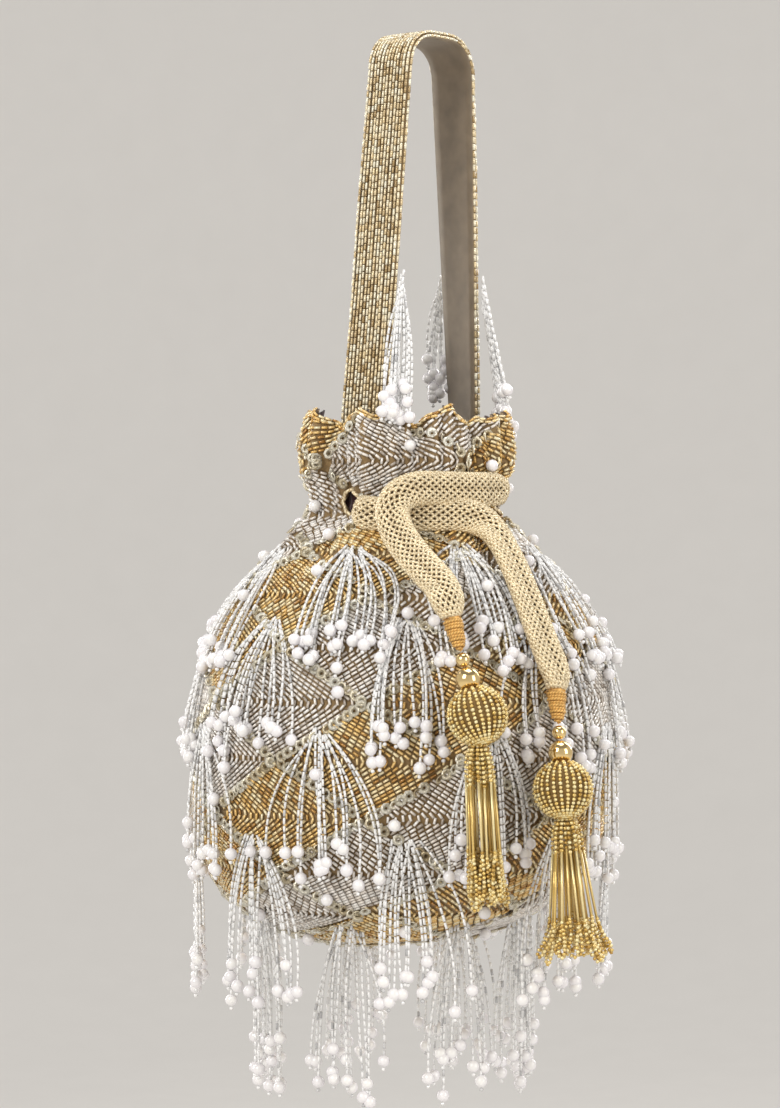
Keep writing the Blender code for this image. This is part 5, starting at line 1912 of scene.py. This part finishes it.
def ball_beads(side, place, centre):
    """Upright rows of seed beads over the ball."""
    rows = []
    angles = np.linspace(BALL_FIRST_ANGLE, BALL_LAST_ANGLE, 30)
    radius = BALL_RADIUS - 0.0006
    for row in range(BALL_ROWS):
        turn = 2.0 * math.pi * row / BALL_ROWS
        around = np.array((math.cos(turn), math.sin(turn), 0.0))
        start = 0 if row % 2 == 0 else 4
        line = (radius * np.sin(angles[start:])[:, None] * around
                + (centre + radius * np.cos(angles[start:]))[:, None] * np.array((0.0, 0.0, 1.0)))
        away = unit(line - np.array((0.0, 0.0, centre)))
        rows.append((moved(line, place), away @ np.array(place)[:3, :3].T))
    return sew_rows("ball_beads_" + side, rows, TASSEL_BEADS, 41,
                    pattern="seed", pitch=BALL_BEAD_PITCH, roll=3.1)


def skirt_loop(end, around, across, drop, flare, width, lean):
    """A loop of seed beads that hangs from the end of a bugle."""
    down = np.array((0.0, 0.0, -drop))
    ring = [end, end + 0.45 * down + 0.4 * flare * around + (0.5 * lean + 0.5 * width) * across,
            end + 0.85 * down + flare * around + (lean + 0.6 * width) * across,
            end + down + 1.1 * flare * around + lean * across,
            end + 0.85 * down + flare * around + (lean - 0.6 * width) * across,
            end + 0.45 * down + 0.4 * flare * around + (0.5 * lean - 0.5 * width) * across,
            end + (0.0, 0.0, 0.001)]
    return catmull(ring, 8)


def skirt_strands(side, plan, place):
    """One skirt: seed beads at the top of each strand, then a long bugle, then a loop."""
    random = np.random.default_rng(51 if side == "left" else 52)
    seeds, middles, runs, facings = [], [], [], []
    top = -BALL_RADIUS - CLEARANCE + 0.0008
    matrix = np.array(place)[:3, :3]
    for strand in range(plan["strands"]):
        turn = 2.0 * math.pi * (strand * 0.381966 + random.uniform(-0.02, 0.02))
        depth = math.sqrt((strand + 0.5) / plan["strands"])
        around = np.array((math.cos(turn), math.sin(turn), 0.0))
        across = np.array((-math.sin(turn), math.cos(turn), 0.0))
        length = plan["length"] * random.uniform(0.92, 1.0)
        bugle_top = SKIRT_SEED_SHARE * length * random.uniform(0.85, 1.15)
        bugle_end = bugle_top + SKIRT_BUGLE_LENGTH
        spread = mix(0.0056, plan["radius"], 0.6)
        knots = [depth * radius * around + np.array((0.0, 0.0, top - walked))
                 for radius, walked in ((0.0030, 0.0), (0.0050, 0.4 * bugle_top), (0.0056, bugle_top))]
        end = depth * spread * around + np.array((0.0, 0.0, top - bugle_end))
        end = end + random.uniform(-0.0008, 0.0008) * across
        loop = skirt_loop(end, around, across, length - bugle_end, plan["flare"] * plan["loop"],
                          plan["loop"] * random.uniform(0.3, 0.9), plan["loop"] * random.uniform(-1.0, 1.0))
        for line in (catmull(knots, 8), loop):
            seeds.append((moved(line, place), np.broadcast_to(around, line.shape) @ matrix.T))
        middles.append(0.5 * (knots[-1] + end))
        runs.append(unit(knots[-1] - end))
        facings.append(around)
    bugles = sew_points("skirt_bugles_" + side, moved(middles, place), np.array(runs) @ matrix.T,
                        np.array(facings) @ matrix.T, TASSEL_BEADS, "long_bugle", 61, 3.1, 0.02)
    loops = sew_rows("skirt_loops_" + side, seeds, TASSEL_BEADS, 62, pattern="seed",
                     pitch=SKIRT_BEAD_PITCH, roll=3.1)
    return bugles, loops


def gold_material():
    """Polished gold plate with very fine scratches."""
    made, tree, shader = new_material("polished_gold", 0.10, 1.0)
    marks = noise(tree, (-500, 0), 700.0, 6.0)
    colour = mix_colours(tree, (-200, 100), marks, (0.86, 0.62, 0.28, 1.0), (0.95, 0.74, 0.38, 1.0))
    rough = math_node(tree, "MULTIPLY", (-200, -100), marks, 0.20)
    tree.links.new(colour, shader.inputs["Base Color"])
    tree.links.new(rough, shader.inputs["Roughness"])
    return made


POLISHED_GOLD = gold_material()
WRAP_THREAD = lame_material("wrap_thread_twist", (0.90, 0.55, 0.17, 1.0), (0.34, 0.15, 0.03, 1.0), 0.25, 2.0)
BALL_CLOTH = cloth_material("ball_cloth", (0.08, 0.04, 0.008, 1.0), (0.34, 0.20, 0.05, 1.0),
                            0.0006, 0.6, 0.1, 0.2)


def make_tassel(side, plan):
    """All pieces of one tassel. Returns the wrap and the pieces on the tassel's own body."""
    line = CORDS[side][1]
    down = Vector(plan["hang"]).normalized()
    pivot = Vector(line[-1]) + (WRAP_LENGTH + CLEARANCE) * down
    place = hanging_frame(pivot, plan["hang"])
    small = -CLEARANCE - SMALL_BEAD_RADIUS
    large = small - SMALL_BEAD_RADIUS - CLEARANCE - LARGE_BEAD_RADIUS
    rim = math.sqrt(BALL_RADIUS ** 2 - BALL_DIMPLE_RADIUS ** 2)
    centre = large - LARGE_BEAD_RADIUS - CLEARANCE + BALL_DIMPLE_DEPTH - rim
    body = side + "_tassel"
    wrap = finish_piece(wrap_yarn(side, place), "pouch", ["thread_wrap_" + side])
    ball_place = place @ Vector((0.0, 0.0, centre))
    skirt_place = hanging_frame(ball_place, plan["skirt"])
    pieces = []
    for name, radius, middle in (("small_bead_", SMALL_BEAD_RADIUS, small),
                                 ("large_bead_", LARGE_BEAD_RADIUS, large)):
        profile = bead_profile(radius, middle, BEAD_HOLE_RADIUS)
        made = turned_mesh("polished_" + name + side, profile, 32, place, POLISHED_GOLD)
        pieces.append(finish_piece(made, body, [name + side]))
    core = bead_profile(BALL_RADIUS - 0.0009, centre, 0.0010)
    made = turned_mesh("ball_core_" + side, core, 28, place, BALL_CLOTH)
    set_uv(made, "cloth", np.array([(vertex.co.x, vertex.co.z) for vertex in made.data.vertices]))
    pieces.append(finish_piece(made, body, ["ball_head_" + side]))
    pieces.append(finish_piece(ball_beads(side, place, centre), body))
    bugles, loops = skirt_strands(side, plan, skirt_place)
    pieces.append(finish_piece(bugles, body, ["skirt_" + side]))
    pieces.append(finish_piece(loops, body))
    return wrap, pieces


HANGING = {side: make_tassel(side, plan) for side, plan in TASSELS.items()}
for side, (wrap, pieces) in HANGING.items():
    print(side, "tassel:", {made.name: triangles(made) for made in [wrap] + pieces})

# %% [markdown]
# ## What moves with what
#
# Everything sewn to the pouch rides on it, and so do the drawstrings, the pouch and its
# linings. The beads, the ball and the skirt of each tassel ride on a body of their own.

# %% Attach the pieces to their bodies
for made in EMBROIDERY + [RIM_BEADS, SLIT_THREADS]:
    finish_piece(made, "pouch")
finish_piece(PEARLS, "pouch")
finish_piece(POUCH, "pouch", ["pouch_shell"])
finish_piece(LINING, "pouch", ["pouch_lining"])
finish_piece(STRAP_LINING, "pouch", ["strap_lining"])
finish_piece(STRAP_TAPE, "pouch", ["strap_beadwork"])
finish_piece(STRAP_COLUMNS_OF_BEADS, "pouch")
for side, (braid, line) in CORDS.items():
    wrap, pieces = HANGING[side]
    finish_piece(braid, "pouch", ["drawstring_" + side])
for pattern in PATTERNS.values():
    bpy.data.objects.remove(pattern)

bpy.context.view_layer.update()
print("triangles in all", sum(triangles(made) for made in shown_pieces() if made.type == "MESH"))
